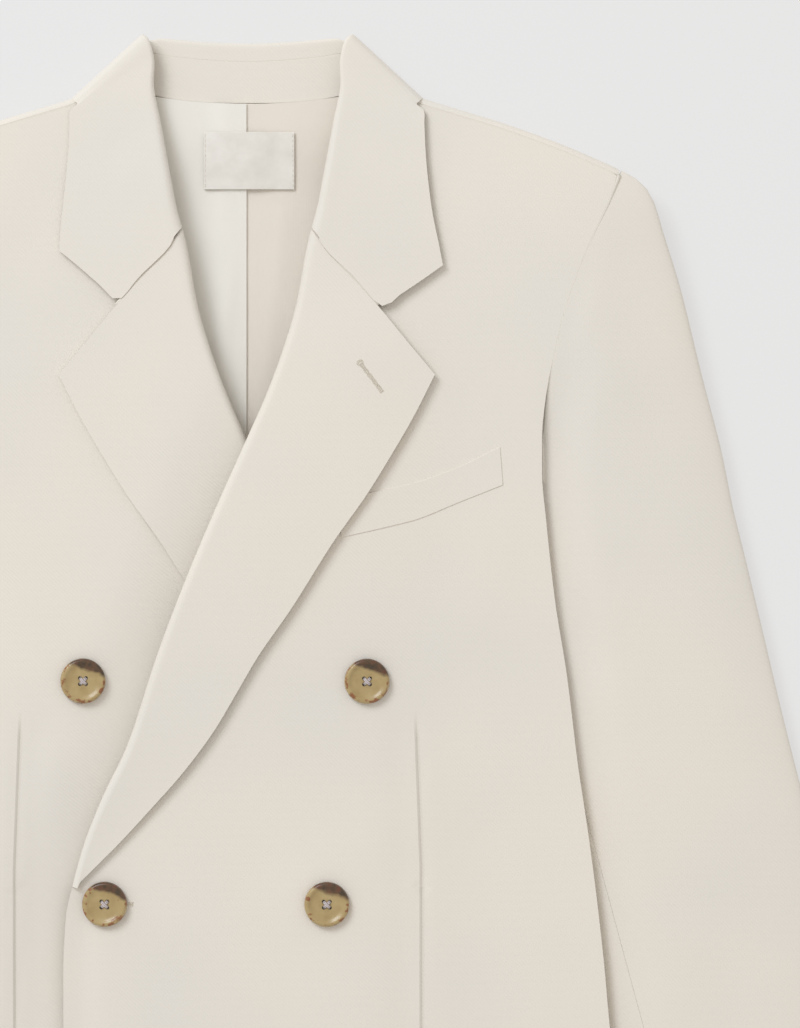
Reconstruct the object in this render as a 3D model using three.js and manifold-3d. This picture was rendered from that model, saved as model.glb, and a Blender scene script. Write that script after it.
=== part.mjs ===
// A double breasted blazer lying flat on its back, buttoned, sleeves beside the body.
// Millimetres. X runs to the wearer's left, Y towards the collar, Z up off the surface.
// The origin is under the middle of the garment's outline, at the height of the surface.
import * as THREE from "three";
import { mergeVertices } from "three/addons/utils/BufferGeometryUtils.js";
import Module from "manifold-3d";

const wasm = await Module();
wasm.setup();

// Walls and gaps
const CLOTH = 1.3;
const FACING = 1.2;
const COLLAR = 2.0;
const LINING = 1.0;
const BACK = 1.8;
const WELT = 1.2;
const LABEL = 1.0;
const GAP = 0.35;

// Driving dimensions
const LENGTH = 775;
const HEM_Y = -LENGTH / 2;
const V_Y = 165;
const BREAK_Y = -82;
const ARMPIT_Y = 145;
const ROLL_RADIUS = 2.6;
const SHOULDER_ROUND = 3.6;
const BUTTON_RADIUS = 12.4;
const BUTTON_THICKNESS = 3.6;

// Colours
const IVORY = 0xe4dfd2;
const SATIN = 0xe6e3dd;
const LINING_COLOUR = 0xe2dfd3;
const HORN = 0xac946a;

// Small mathematics
const clamp01 = (t) => Math.min(1, Math.max(0, t));
const mix = (a, b, t) => a + (b - a) * t;
const ramp = (value, from, to) => {
  const t = clamp01((value - from) / (to - from));
  return t * t * (3 - 2 * t);
};
const bell = (value, width) => Math.exp(-((value / width) ** 2));

// A table with named columns becomes a list of records
const table = (columns, rows) =>
  rows.map((row) => Object.fromEntries(columns.map((name, i) => [name, row[i]])));

// A smooth line through the x and y of a table's rows, walked by its own length
function line(rows) {
  const spline = new THREE.SplineCurve(rows.map((r) => new THREE.Vector2(r.x, r.y)));
  spline.arcLengthDivisions = 400;
  return (t) => spline.getPointAt(clamp01(t));
}

// One column of a table read at a height y, smoothly from row to row; y falls down the table
function readAt(rows, column, y) {
  if (y >= rows[0].y) return rows[0][column];
  for (let i = 1; i < rows.length; i++) {
    const above = rows[i - 1];
    const below = rows[i];
    if (y >= below.y) return mix(above[column], below[column], (above.y - y) / (above.y - below.y));
  }
  return rows[rows.length - 1][column];
}

// The visible fold of the left front: collar corner, down the lapel's roll to the break
const ROLL = table(["x", "y"], [
  [51.2, 358], [47.3, 338], [42.9, 314], [38.5, 288], [31.9, 262], [26.4, 235], [19.8, 213],
  [11.0, 189], [0.5, 165], [-16.5, 127], [-33.0, 88], [-49.0, 46], [-66.0, -5], [-79.0, -32],
  [-90.0, -60], [-96.0, -82],
]);

// The left front's own edge below the break
const FRONT_EDGE = table(["x", "y"], [
  [-96.0, -82], [-99.5, -98], [-101, -130], [-101, -250], [-100, -350], [-97, HEM_Y],
]);

// Top edge of the lapel: gorge seam from the roll to the notch, then out to the point
const LAPEL_TOP = table(["x", "y"], [
  [37.0, 275], [43, 267], [58.3, 252], [73.2, 236], [88, 218.6], [102.5, 202],
]);

// Outer edge of the lapel from its point down to the break
const LAPEL_EDGE = table(["x", "y"], [
  [103.4, 199.5], [91.5, 176], [78.7, 154], [65, 132], [47.3, 107], [25.3, 72], [7.2, 46],
  [-5.5, 24.5], [-18.7, 2.5], [-35.2, -19.5], [-53.4, -40], [-70, -58], [-81, -69], [-92, -80],
]);

// Armhole seam, then the crisp side edge of the front down to the hem
const SIDE = table(["x", "y"], [
  [204, 308.4], [198, 293.4], [189.8, 275.8], [182, 256], [174.4, 234], [168.3, 208],
  [164.5, 188], [162.3, 165], [162.3, 145], [164.4, 121], [169.4, 75.6], [176, 34], [182, -14.6],
  [187.6, -52], [192, -85], [196.4, -124], [199.7, -160], [206, -210], [214, -272], [222, -335],
  [228.5, HEM_Y],
]);

// Shoulder outline from the neck to the shoulder point
const SHOULDER = table(["x", "y"], [
  [79, 360], [96, 349], [114, 343.8], [143, 336], [172.7, 326.4], [199, 315.2], [205.5, 312],
]);

// Rise of the underside of the fronts above the surface, at the middle and at the side
const RISE = table(["y", "middle", "side"], [
  [360, 12, 15], [330, 12.5, 18], [300, 14, 19], [240, 15.5, 17.5], [165, 16, 17], [60, 16, 17],
  [-60, 15, 17], [-160, 13.5, 16], [-280, 10.5, 11], [HEM_Y, 8.5, 8.5],
]);

const halfWidth = (y) => readAt(SIDE, "x", y);
const rollX = (y) => (y > BREAK_Y ? readAt(ROLL, "x", y) : readAt(FRONT_EDGE, "x", y));

// Underside of a front where nothing lies under it
function bodyRise(x, y) {
  const out = clamp01(Math.abs(x) / halfWidth(y)) ** 2;
  return mix(readAt(RISE, "middle", y), readAt(RISE, "side", y), out);
}

// The over front rides up on the crossed lapels and on the lap of the other front
function overRise(x, y) {
  const crossing = 7.5 * bell(x, 95) * bell(y - 125, 125);
  const lap = 2 * ramp(x, 125, 60) * ramp(y, 260, 200);
  return bodyRise(x, y) + crossing + lap;
}

// The under front sinks where the over front covers it
const SINK = table(["y", "depth"], [[260, 0], [200, 5.5], [0, 6.5], [-80, 6.5], [-250, 3.6], [HEM_Y, 1.8]]);
function underRise(x, y) {
  const covered = ramp(x - rollX(y), -42, 22);
  return bodyRise(x, y) - readAt(SINK, "depth", y) * covered;
}

// The back lies on the surface, and over the collar's hidden part at the neck
const HUMP = 3.2;
function backRise(x, y) {
  return HUMP * ramp(y, 296, 336) * ramp(Math.abs(x), 116, 96);
}

// A closed wall between two grids of points; cells that keep() turns down are left out
function wall(name, face, rear, colour, keep = () => true) {
  const rows = face.length;
  const columns = face[0].length;
  const points = [...face.flat(), ...rear.flat()];
  const layer = rows * columns;
  const index = [];
  const quad = (a, b, c, d) => index.push(a, b, c, a, c, d);
  const has = (i, j) => i >= 0 && j >= 0 && i < rows - 1 && j < columns - 1 && keep(i, j);
  for (let i = 0; i < rows - 1; i++) {
    for (let j = 0; j < columns - 1; j++) {
      if (!has(i, j)) continue;
      const a = i * columns + j;
      const b = a + 1;
      const c = b + columns;
      const d = a + columns;
      quad(a, b, c, d);
      quad(d + layer, c + layer, b + layer, a + layer);
      if (!has(i - 1, j)) quad(b, a, a + layer, b + layer);
      if (!has(i + 1, j)) quad(d, c, c + layer, d + layer);
      if (!has(i, j - 1)) quad(a, d, d + layer, a + layer);
      if (!has(i, j + 1)) quad(c, b, b + layer, c + layer);
    }
  }
  return solid(name, points, index, colour);
}

// A mesh from points and triangles, with unused points dropped and its faces turned outwards
function solid(name, points, index, colour, roughness = 0.85) {
  const places = new Map();
  const packed = index.map((i) => {
    if (!places.has(i)) places.set(i, places.size);
    return places.get(i);
  });
  const positions = new Float32Array([...places.keys()].flatMap((i) => points[i]));
  let volume = 0;
  for (let t = 0; t < index.length; t += 3) {
    const [a, b, c] = [0, 1, 2].map((k) => new THREE.Vector3(...points[index[t + k]]));
    volume += a.dot(b.cross(c));
  }
  if (volume < 0) packed.reverse();
  const geometry = new THREE.BufferGeometry();
  geometry.setAttribute("position", new THREE.BufferAttribute(positions, 3));
  geometry.setIndex(packed);
  return piece(name, geometry, colour, roughness);
}

function piece(name, geometry, colour, roughness) {
  geometry.computeVertexNormals();
  const material = new THREE.MeshStandardMaterial({ color: colour, roughness, metalness: 0 });
  const mesh = new THREE.Mesh(geometry, material);
  mesh.name = name;
  return mesh;
}

const mirrored = (grid, side) => grid.map((row) => row.map(([x, y, z]) => [x * side, y, z]));
const steps = (count) => Array.from({ length: count + 1 }, (_, i) => i / count);
const sideName = (side) => (side > 0 ? "left" : "right");
const riseOf = (side) => (x, y) => (side > 0 ? overRise(x, y) : underRise(-x, y));

// Rows of a front: the height of each on its inner edge, from the gorge down to the hem
const FRONT_ROWS = [275, 256, 234, 212, 189, 165, 138, 110, 80, 46, 10, -28, -58, BREAK_Y,
  -112, -155, -205, -260, -315, -355, HEM_Y];
const BREAK_ROW = FRONT_ROWS.indexOf(BREAK_Y);
const SHOULDER_STEPS = 7;
const BODY_STEPS = steps(12);
const LAPEL_STEPS = steps(8);
const FOLD_TURNS = [36, 72, 108, 144].map((degrees) => THREE.MathUtils.degToRad(degrees));
const STRIP_STEPS = [12, 6];

const shoulderLine = line(SHOULDER);
const lapelTop = line(LAPEL_TOP);
const lapelEdge = line(LAPEL_EDGE);

// A point of the shoulder outline, with the direction out of the garment
function shoulderAt(t) {
  const here = shoulderLine(t);
  const along = shoulderLine(t + 0.02).sub(shoulderLine(t - 0.02)).normalize();
  return { here, out: new THREE.Vector2(-along.y, along.x) };
}

function shoulderSeam(t) {
  const { here, out } = shoulderAt(t);
  return here.clone().addScaledVector(out, -SHOULDER_ROUND - 2 * GAP);
}

// The fold of a lapel at one height: its centre, its direction into the garment, its radius
function foldAt(y, rise) {
  const slope = (rollX(y + 6) - rollX(y - 6)) / 12;
  const into = new THREE.Vector2(1, -slope).normalize();
  const radius = mix(ROLL_RADIUS, 1.65, ramp(y, 0, BREAK_Y));
  const centre = new THREE.Vector2(rollX(y), y).addScaledVector(into, radius + GAP + FACING);
  return { centre, into, radius, level: rise(centre.x, centre.y) + radius };
}

// Upper edge of a front: along the shoulder seam to the neck, then down the neck seam
const NECK_SHARE = SHOULDER_STEPS / 12;
const NECK_BOW = 1.6;
function frontTop(f, fold) {
  if (f <= NECK_SHARE) return shoulderSeam(1 - f / NECK_SHARE);
  const down = (f - NECK_SHARE) / (1 - NECK_SHARE);
  const place = shoulderSeam(0).lerp(fold.centre, down);
  place.x += NECK_BOW * Math.sin(Math.PI * down);
  return place;
}

// Places of a front's body on the surface, row by row, from its side edge to its inner edge
function bodyPlaces(folds) {
  const tip = frontTop(0, folds[0]);
  const end = frontTop(1, folds[0]);
  return FRONT_ROWS.map((y, i) => {
    const sideY = y + (tip.y - FRONT_ROWS[0]) * ramp(y, V_Y, FRONT_ROWS[0]);
    const left = i === 0 ? tip : new THREE.Vector2(halfWidth(sideY), sideY);
    const right = i <= BREAK_ROW ? folds[i].centre : new THREE.Vector2(rollX(y), y);
    const bend = 1 - clamp01((FRONT_ROWS[0] - y) / (FRONT_ROWS[0] - V_Y));
    return BODY_STEPS.map((f) => {
      const off = frontTop(f, folds[0]).sub(tip.clone().lerp(end, f)).multiplyScalar(bend);
      return left.clone().lerp(right, f).add(off);
    });
  });
}

// Places of a lapel on the surface, row by row, from its fold to its outer edge
const LAPEL_BEND_ROWS = 4;
function lapelPlaces(folds) {
  return folds.map((fold, i) => {
    const share = (FRONT_ROWS[0] - FRONT_ROWS[i]) / (FRONT_ROWS[0] - BREAK_Y);
    const edge = lapelEdge(share);
    const bend = 1 - clamp01(i / LAPEL_BEND_ROWS);
    return LAPEL_STEPS.map((f) => {
      const off = lapelTop(f).sub(lapelTop(0).lerp(lapelTop(1), f)).multiplyScalar(bend);
      return fold.centre.clone().lerp(edge, f).add(off);
    });
  });
}

// Height of the lapel's lower layer, on its upper face, above a place on the surface
function lapelRise(place, f, i, side, rise) {
  const openEdge = side > 0 ? 2.0 : 0.8;
  const edge = mix(openEdge, 0.5, ramp(FRONT_ROWS[i], 40, BREAK_Y));
  const radius = foldAt(FRONT_ROWS[i], rise).radius;
  const spring = 2 * (radius - CLOTH) - edge;
  return rise(place.x, place.y) + 2 * CLOTH + edge + spring * (1 - f) ** 1.5;
}

const turned = (fold, radius, angle) => [
  fold.centre.x - fold.into.x * radius * Math.sin(angle),
  fold.centre.y - fold.into.y * radius * Math.sin(angle),
  fold.level - radius * Math.cos(angle),
];

// A front in one with the lower layer of its lapel
function front(side) {
  const rise = riseOf(side);
  const folds = FRONT_ROWS.slice(0, BREAK_ROW + 1).map((y) => foldAt(y, rise));
  const body = bodyPlaces(folds);
  const lapel = lapelPlaces(folds);
  const layer = (lift, radiusLoss, lapelDrop) => FRONT_ROWS.map((y, i) => {
    const row = body[i].map((p) => [p.x, p.y, rise(p.x, p.y) + lift]);
    const k = Math.min(i, BREAK_ROW);
    const fold = folds[k];
    const arc = FOLD_TURNS.map((angle) => turned(fold, fold.radius - radiusLoss, angle));
    const flap = lapel[k].map((p, j) => {
      return [p.x, p.y, lapelRise(p, LAPEL_STEPS[j], k, side, rise) - lapelDrop];
    });
    return [...row, ...arc, ...flap];
  });
  const inside = mirrored(layer(0, 0, 0), side);
  const outside = mirrored(layer(CLOTH, CLOTH, CLOTH), side);
  const keep = (i, j) => j < BODY_STEPS.length - 1 || i < BREAK_ROW;
  return wall(`front_${sideName(side)}`, inside, outside, IVORY, keep);
}

// The facing: the top layer of the lapel, round the fold, with a strip inside the front
function facing(side) {
  const rise = riseOf(side);
  const folds = FRONT_ROWS.slice(0, BREAK_ROW + 1).map((y) => foldAt(y, rise));
  const lapel = lapelPlaces(folds);
  const layer = (out) => folds.map((fold, i) => {
    const strip = STRIP_STEPS.map((reach) => {
      const place = fold.centre.clone().addScaledVector(fold.into, reach);
      return [place.x, place.y, rise(place.x, place.y) - out - GAP];
    });
    const start = [fold.centre.x, fold.centre.y, fold.level - fold.radius - out];
    const arc = FOLD_TURNS.map((angle) => turned(fold, fold.radius + out, angle));
    const flap = lapel[i].map((p, j) => {
      return [p.x, p.y, lapelRise(p, LAPEL_STEPS[j], i, side, rise) + out];
    });
    return [...strip, start, ...arc, ...flap];
  });
  const lower = mirrored(layer(GAP), side);
  const upper = mirrored(layer(GAP + FACING), side);
  return wall(`facing_${sideName(side)}`, lower, upper, IVORY);
}

// Back half: flat on the surface, wrapped over the shoulder edge to the seam in front
const BACK_ROWS = [HEM_Y, -320, -250, -180, -110, -40, 30, 95, 145, 188, 225, 258, 280, 296];
const SHOULDER_TURNS = [-50, -18, 18, 50, 90].map((degrees) => THREE.MathUtils.degToRad(degrees));
const NECK_COLUMNS = 4;
const BACK_STEPS = steps(NECK_COLUMNS + SHOULDER_STEPS);
const NECK_SEAM_Y = 349.3;
const NECK_DROP = 6;
function back(side) {
  const rise = riseOf(side);
  const neckPoint = shoulderAt(0);
  const edge = neckPoint.here.clone().addScaledVector(neckPoint.out, -SHOULDER_ROUND);
  const tops = BACK_STEPS.map((f, j) => {
    if (j < NECK_COLUMNS) {
      const t = j / NECK_COLUMNS;
      const y = mix(NECK_SEAM_Y, edge.y, t ** 2) - NECK_DROP * t * (1 - t);
      return { place: new THREE.Vector2(mix(GAP / 2, edge.x, t), y) };
    }
    const { here, out } = shoulderAt((j - NECK_COLUMNS) / (BACK_STEPS.length - 1 - NECK_COLUMNS));
    return { place: here.clone().addScaledVector(out, -SHOULDER_ROUND), here, out };
  });
  const first = tops[0].place;
  const last = tops[tops.length - 1].place;
  const flat = BACK_ROWS.map((y) => {
    const bend = ramp(y, ARMPIT_Y, last.y);
    const middle = new THREE.Vector2(GAP / 2, y + (first.y - last.y) * bend);
    const rim = new THREE.Vector2(halfWidth(y) - GAP, y);
    return tops.map(({ place }, j) => {
      const off = place.clone().sub(first.clone().lerp(last, BACK_STEPS[j])).multiplyScalar(bend);
      return middle.clone().lerp(rim, BACK_STEPS[j]).add(off);
    });
  });
  flat.push(tops.map(({ place }) => place));
  const turns = (loss) => SHOULDER_TURNS.map((angle) => tops.map((top) => {
    if (!top.out) return [top.place.x, top.place.y, backRise(top.place.x, top.place.y) + 1 + angle];
    const low = backRise(top.place.x, top.place.y);
    const high = rise(top.place.x, top.place.y) + CLOTH;
    const reach = (SHOULDER_ROUND - loss) * Math.cos(angle);
    const spot = top.place.clone().addScaledVector(top.out, reach);
    return [spot.x, spot.y, (high + low) / 2 + ((high - low) / 2 - loss) * Math.sin(angle)];
  }));
  const layer = (lift) => [
    ...flat.map((row) => row.map((p) => [p.x, p.y, backRise(p.x, p.y) + lift])),
    ...turns(lift),
  ];
  const keep = (i, j) => i < BACK_ROWS.length || j >= NECK_COLUMNS;
  return wall(`back_${sideName(side)}`, mirrored(layer(0), side), mirrored(layer(CLOTH), side), IVORY, keep);
}

// Side panel: folded in like a bellows between the back and the front
const TUCK = table(["y", "depth"], [[130, 72], [0, 60], [-85, 44], [-160, 30], [-300, 24], [HEM_Y, 20]]);
const SIDE_ROWS = [118, 75, 34, -14, -60, -112, -160, -215, -270, -330, HEM_Y];
const LEAF_STEPS = [0, 0.3, 0.65, 1];
function sidePanel(side) {
  const rise = riseOf(side);
  const low = BACK + GAP;
  const layer = (inset) => SIDE_ROWS.map((y) => {
    const edge = halfWidth(y) - 1;
    const apex = edge - readAt(TUCK, "depth", y);
    const topAt = (x) => rise(x, y) - GAP - inset;
    const lower = LEAF_STEPS.map((f) => [mix(edge, apex + 4, f), y, low + inset]);
    const middle = (topAt(apex + 4) + low + inset) / 2;
    const upper = LEAF_STEPS.map((f) => {
      const x = mix(apex + 4, edge, f);
      return [x, y, topAt(x)];
    });
    return [...lower, [apex + inset, y, middle], ...upper];
  });
  return wall(`side_${sideName(side)}`, mirrored(layer(0), side), mirrored(layer(CLOTH), side), IVORY);
}

// Sleeve: a flattened tube of two pieces from the armhole to the cuff
const SLEEVE_OUTER = table(["x", "y"], [
  [206, 312], [216.5, 306], [220.5, 301], [224.5, 293], [230, 275], [235.5, 258], [240.5, 240.6],
  [251, 198], [261, 160], [268, 126], [275, 97.6], [285.5, 53.6], [296.6, 7], [313, -58],
  [341, -170], [370, -286],
]);
const SLEEVE_INNER = table(["x", "y"], [[108, 130], [132, 53.6], [168, -73], [192, -160], [237.6, -323]]);
const ARMHOLE = table(["x", "y"], [
  [206.6, 309], [199.2, 293.4], [191, 275.8], [183.1, 256], [175.4, 234], [169.2, 208],
  [165.4, 188], [163.2, 165], [158, 150], [140, 140], [118, 136],
]);
const SLEEVE_HEIGHT = 17;
const CUFF_HEIGHT = 12;
const SLEEVE_ROWS = steps(15);
const CAP_ROW = 4;
const SLEEVE_SEAMS = { front: 0.82, back: 0.14 };
const outerLine = line(SLEEVE_OUTER);
const innerLine = line(SLEEVE_INNER);
const armholeLine = line(ARMHOLE);
const CAP_SHARE = 0.28;

// The chord across the sleeve for one row, from the outer fold at u = 0 to the inner at u = 1
function sleevePlace(row, u) {
  const t = SLEEVE_ROWS[row];
  if (row >= CAP_ROW) {
    const down = (t - SLEEVE_ROWS[CAP_ROW]) / (1 - SLEEVE_ROWS[CAP_ROW]);
    return outerLine(mix(CAP_SHARE, 1, down)).lerp(innerLine(down), u);
  }
  const down = row / CAP_ROW;
  const head = armholeLine(u);
  const chord = outerLine(CAP_SHARE).lerp(innerLine(0), u);
  const place = head.clone().lerp(chord, down);
  const rim = outerLine(CAP_SHARE * down);
  const straight = outerLine(0).lerp(outerLine(CAP_SHARE), down);
  return place.add(rim.sub(straight).multiplyScalar((1 - u) ** 2));
}

// Heights of the tube: it lies on the surface, but over the back where it is tucked in
const TUCKED_LIFT = BACK + CLOTH + 5 * GAP;
function sleeveFloor(x, y) {
  const beyond = x - halfWidth(y);
  return TUCKED_LIFT * ramp(beyond, 20, 3) * ramp(y, 215, 150);
}
function sleeveCeiling(x, y, row, rise) {
  const down = SLEEVE_ROWS[row];
  const beyond = x - halfWidth(y);
  const height = mix(SLEEVE_HEIGHT + 3 * (1 - down), CUFF_HEIGHT, down);
  const headHeight = rise(halfWidth(y), y) + CLOTH + 1.5;
  const tucked = Math.min(height, rise(halfWidth(y), y) - CLOTH - 3 * GAP - 2);
  const below = mix(tucked, height, ramp(beyond, 0, 30));
  return mix(below, headHeight, ramp(y, 150, 215) * ramp(row, CAP_ROW + 2, 0));
}

// Points round the tube from share a to share b, counted from the outer fold over the top
const FOLD_POWER = 0.62;
function sleeveArc(side, angles, inset) {
  const rise = riseOf(side);
  return SLEEVE_ROWS.map((_, row) => angles.map((angle) => {
    const across = Math.cos(angle);
    const up = Math.sign(Math.sin(angle)) * Math.abs(Math.sin(angle)) ** FOLD_POWER;
    const width = sleevePlace(row, 0).distanceTo(sleevePlace(row, 1));
    const u = 0.5 - across * (0.5 - inset / Math.max(width, 1));
    const place = sleevePlace(row, u);
    const floor = sleeveFloor(place.x, place.y) + inset;
    const ceiling = sleeveCeiling(place.x, place.y, row, rise) - inset;
    return [place.x, place.y, (floor + ceiling) / 2 + up * (ceiling - floor) / 2];
  }));
}

const angleOf = (u) => Math.acos(1 - 2 * u);
function sleevePiece(name, side, angles) {
  const outside = mirrored(sleeveArc(side, angles, 0), side);
  const inside = mirrored(sleeveArc(side, angles, CLOTH), side);
  return wall(`${name}_${sideName(side)}`, outside, inside, IVORY);
}
const SEAM_ANGLE = 0.006;
function sleeve(side) {
  const front = angleOf(SLEEVE_SEAMS.front);
  const rear = -angleOf(SLEEVE_SEAMS.back);
  const topAngles = steps(14).map((t) => mix(front - SEAM_ANGLE, rear + SEAM_ANGLE, t));
  const underAngles = steps(12).map((t) => mix(front + SEAM_ANGLE, 2 * Math.PI + rear - SEAM_ANGLE, t));
  return [sleevePiece("sleeve_top", side, topAngles), sleevePiece("sleeve_under", side, underAngles)];
}

// Collar: the fold and the outer edge at each station, from the notch to the shoulder edge
const COLLAR_FRONT = table(["foldY", "edgeX", "edgeY", "stack", "turnIn", "stand"], [
  [276, 107.8, 259.6, 8.3, 0.2, 0], [288, 105.6, 271, 8.3, 0.8, 0], [304, 102.3, 287, 8.3, 3, 0],
  [322, 99.8, 305, 8.0, 5.5, 12.5], [340, 98.3, 322, 7.0, 6.5, 16.5], [358, 97.6, 337, 6, 7.5, 21],
  [374, 97.2, 345, 4.8, 7.5, 25],
]);
// The same behind the neck, where the fall lies under the stand, from the corner to the middle
const COLLAR_REAR = table(["foldX", "foldY", "edgeX", "edgeY", "stack", "turnIn", "stand"], [
  [49, 385.8, 84, 343, 4.4, 7.5, 30], [40, 385.2, 62, 338, 4.8, 7.5, 33.4],
  [20, 383.7, 31, 336.5, 5.2, 7.5, 34], [0, 383, 0, 336, 5.2, 7.5, 33.2],
]);
const CORNER = { foldX: 57.75, foldY: 388.4, edgeX: 96.8, edgeY: 352.3, stack: 4.2, turnIn: 7.5, stand: 27 };
const CORNER_TURNS = [90, 62, 32, 0, -32, -62, -90];
const CORNER_ROUND = 5;
const STAND_CLOTH = 1.3;
const COLLAR_STEPS = [0, 0.15, 0.35, 0.55, 0.78, 1];
const NOTCH = table(["x", "y"], [
  [39.5, 275.4], [43.6, 268], [58.9, 253.2], [73.9, 237.4], [85, 244], [97, 252], [107.8, 259.6],
]);
const notchLine = line(NOTCH);
const COLLAR_BEND_ROWS = 5;

// Frames along the collar: where a point at a depth below the outer face lies
function collarStations(side) {
  const rise = riseOf(side);
  const openTop = side > 0 ? 5.7 : 4.6;
  const frame = (row) => {
    const fold = new THREE.Vector2(row.foldX ?? rollX(row.foldY), row.foldY);
    const out = new THREE.Vector2(row.edgeX, row.edgeY).sub(fold);
    return { ...row, fold, reach: out.length(), out: out.normalize() };
  };
  const flatAt = (f, d, off = new THREE.Vector2()) =>
    f.fold.clone().addScaledVector(f.out, d).add(off);
  const front = COLLAR_FRONT.map((row, k) => {
    const f = frame(row);
    const bend = 1 - clamp01(k / COLLAR_BEND_ROWS);
    const place = (d, depth, isFall) => {
      const share = clamp01((d - f.stack / 2) / (f.reach - f.stack / 2));
      const off = notchLine(share).sub(notchLine(0).lerp(notchLine(1), share)).multiplyScalar(bend);
      const p = flatAt(f, d, isFall ? off : undefined);
      const drop = isFall ? Math.max(0, f.stack - openTop) * share ** 0.8 : 0;
      return [p.x, p.y, rise(p.x, p.y) + f.stack - drop - depth];
    };
    return { ...f, place };
  });
  const corner = CORNER_TURNS.map((degrees) => {
    const f = frame(CORNER);
    const turn = THREE.MathUtils.degToRad(degrees);
    const lateral = new THREE.Vector2(-f.out.y, f.out.x);
    const place = (d, depth) => {
      const sideways = (CORNER_ROUND - depth) * Math.cos(turn) - CORNER_ROUND;
      const p = flatAt(f, d).addScaledVector(lateral, sideways);
      const half = (rise(p.x, p.y) + f.stack) / 2;
      return [p.x, p.y, half + (half - depth) * Math.sin(turn)];
    };
    return { ...f, place };
  });
  const rear = COLLAR_REAR.map((row) => {
    const f = frame(row);
    const place = (d, depth) => {
      const p = flatAt(f, d);
      return [p.x, p.y, depth];
    };
    return { ...f, place };
  });
  return [...front, ...corner, ...rear];
}

// Both sides joined at the middle of the back into one run of rows
function roundNeck(rowsOf, from = 0) {
  const left = collarStations(1).slice(from).map(rowsOf);
  const right = collarStations(-1).slice(from).map(rowsOf);
  return [...left, ...mirrored(right, -1).reverse().slice(1)];
}

function collarFall() {
  const layer = (isOuter) => (s) => {
    const half = s.stack / 2;
    const innerHalf = (s.stack - COLLAR - STAND_CLOTH) / 2;
    const radius = isOuter ? half : innerHalf;
    const middle = isOuter ? half : COLLAR + innerHalf;
    const fall = COLLAR_STEPS
      .map((f) => s.place(mix(half, s.reach, f), middle - radius, true))
      .reverse();
    const arc = FOLD_TURNS.map((angle) => {
      return s.place(half - radius * Math.sin(angle), middle - radius * Math.cos(angle), true);
    });
    const strip = [0, s.turnIn].map((d) => s.place(half + d, middle + radius, false));
    return [...fall, ...arc, ...strip];
  };
  return wall("collar_fall", roundNeck(layer(true)), roundNeck(layer(false)), IVORY);
}

const STAND_FIRST = 3;
function collarStand() {
  const layer = (depthLoss) => (s) => steps(3).map((f) => {
    const start = s.stack / 2 + s.turnIn + GAP;
    return s.place(mix(start, Math.max(s.stand, start + 1), f), s.stack - depthLoss, false);
  });
  return wall("collar_stand", roundNeck(layer(0), STAND_FIRST), roundNeck(layer(STAND_CLOTH), STAND_FIRST), IVORY);
}

// Back lining seen through the neck opening: two halves with a pleat down the middle
const LINING_ROWS = [346.5, 330, 315, 300, 285, 270, 250, 230, 210, 190, 170, 150, 132];
const LINING_MARGIN = 26;
const PLEAT = 9;
const LINING_REACH = table(["y", "x"], [[347, 50], [330, 64], [132, 40]]);
function lining(side) {
  const liningSteps = steps(6);
  const layer = (lift) => LINING_ROWS.map((y) => {
    const reach = Math.min(readAt(LINING_REACH, "x", y), Math.max(rollX(y), 0) + LINING_MARGIN);
    const inner = side > 0 ? -PLEAT : 0.5;
    return liningSteps.map((f) => {
      const x = mix(inner, reach, f);
      const over = side < 0 ? (LINING + GAP) * ramp(x, PLEAT + 14, PLEAT + 2) : 0;
      return [x, y, backRise(x, y) + CLOTH + 2 * GAP + over + lift];
    });
  });
  return wall(`lining_${sideName(side)}`, mirrored(layer(0), side), mirrored(layer(LINING), side), LINING_COLOUR);
}

// Bare neck label on the lining, across the pleat
const LABEL_BOX = { left: -24.2, right: 25.9, bottom: 302.2, top: 333.6 };
function label() {
  const layer = (lift) => steps(4).map((v) => steps(8).map((u) => {
    const x = mix(LABEL_BOX.left, LABEL_BOX.right, u);
    const y = mix(LABEL_BOX.bottom, LABEL_BOX.top, v);
    const pleat = (LINING + GAP) * ramp(x, 17, 2) * ramp(x, -PLEAT - 17, -PLEAT - 2);
    return [x, y, backRise(x, y) + CLOTH + 4 * GAP + LINING + pleat + lift];
  }));
  return wall("neck_label", layer(0), layer(LABEL), SATIN);
}

// Breast welt on the left front, its inner end under the lapel
const WELT_TOP = table(["x", "y"], [[139.2, 159.8], [118, 149.4], [105, 144.4], [88, 139], [50, 131]]);
const WELT_BOTTOM = table(["x", "y"], [[140.8, 138.9], [114.4, 128.4], [97.4, 121.3], [84, 117.4], [52, 110]]);
function welt() {
  const top = line(WELT_TOP);
  const bottom = line(WELT_BOTTOM);
  const layer = (lift) => steps(3).map((v) => steps(10).map((u) => {
    const place = top(u).lerp(bottom(u), v);
    return [place.x, place.y, overRise(place.x, place.y) + CLOTH + GAP + lift];
  }));
  return wall("breast_welt", layer(0), layer(WELT), IVORY);
}

// Buttons: a dished disc with a raised rim and four holes
const BUTTONS = table(["name", "x", "y", "side"], [
  ["button_upper_right", -90.2, 31.1, -1], ["button_upper_left", 66, 31.1, 1],
  ["button_lower_right", -78.1, -91.6, 1], ["button_lower_left", 44, -91.6, 1],
]);
const BUTTON_PROFILE = table(["x", "y"], [
  [0, 0], [0.62, 0], [0.9, 0.12], [1, 0.42], [0.97, 0.84], [0.88, 1], [0.74, 0.86], [0.58, 0.64], [0, 0.6],
]);
const HOLE = { radius: 1.1, offset: 2.3, sides: 8 };
const BUTTON_SIDES = 28;

function asManifold(geometry) {
  const bare = geometry.clone();
  bare.deleteAttribute("normal");
  bare.deleteAttribute("uv");
  const merged = mergeVertices(bare, 1e-4);
  const triVerts = new Uint32Array(merged.index.array);
  const vertProperties = merged.attributes.position.array;
  return new wasm.Manifold(new wasm.Mesh({ numProp: 3, vertProperties, triVerts }));
}

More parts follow.
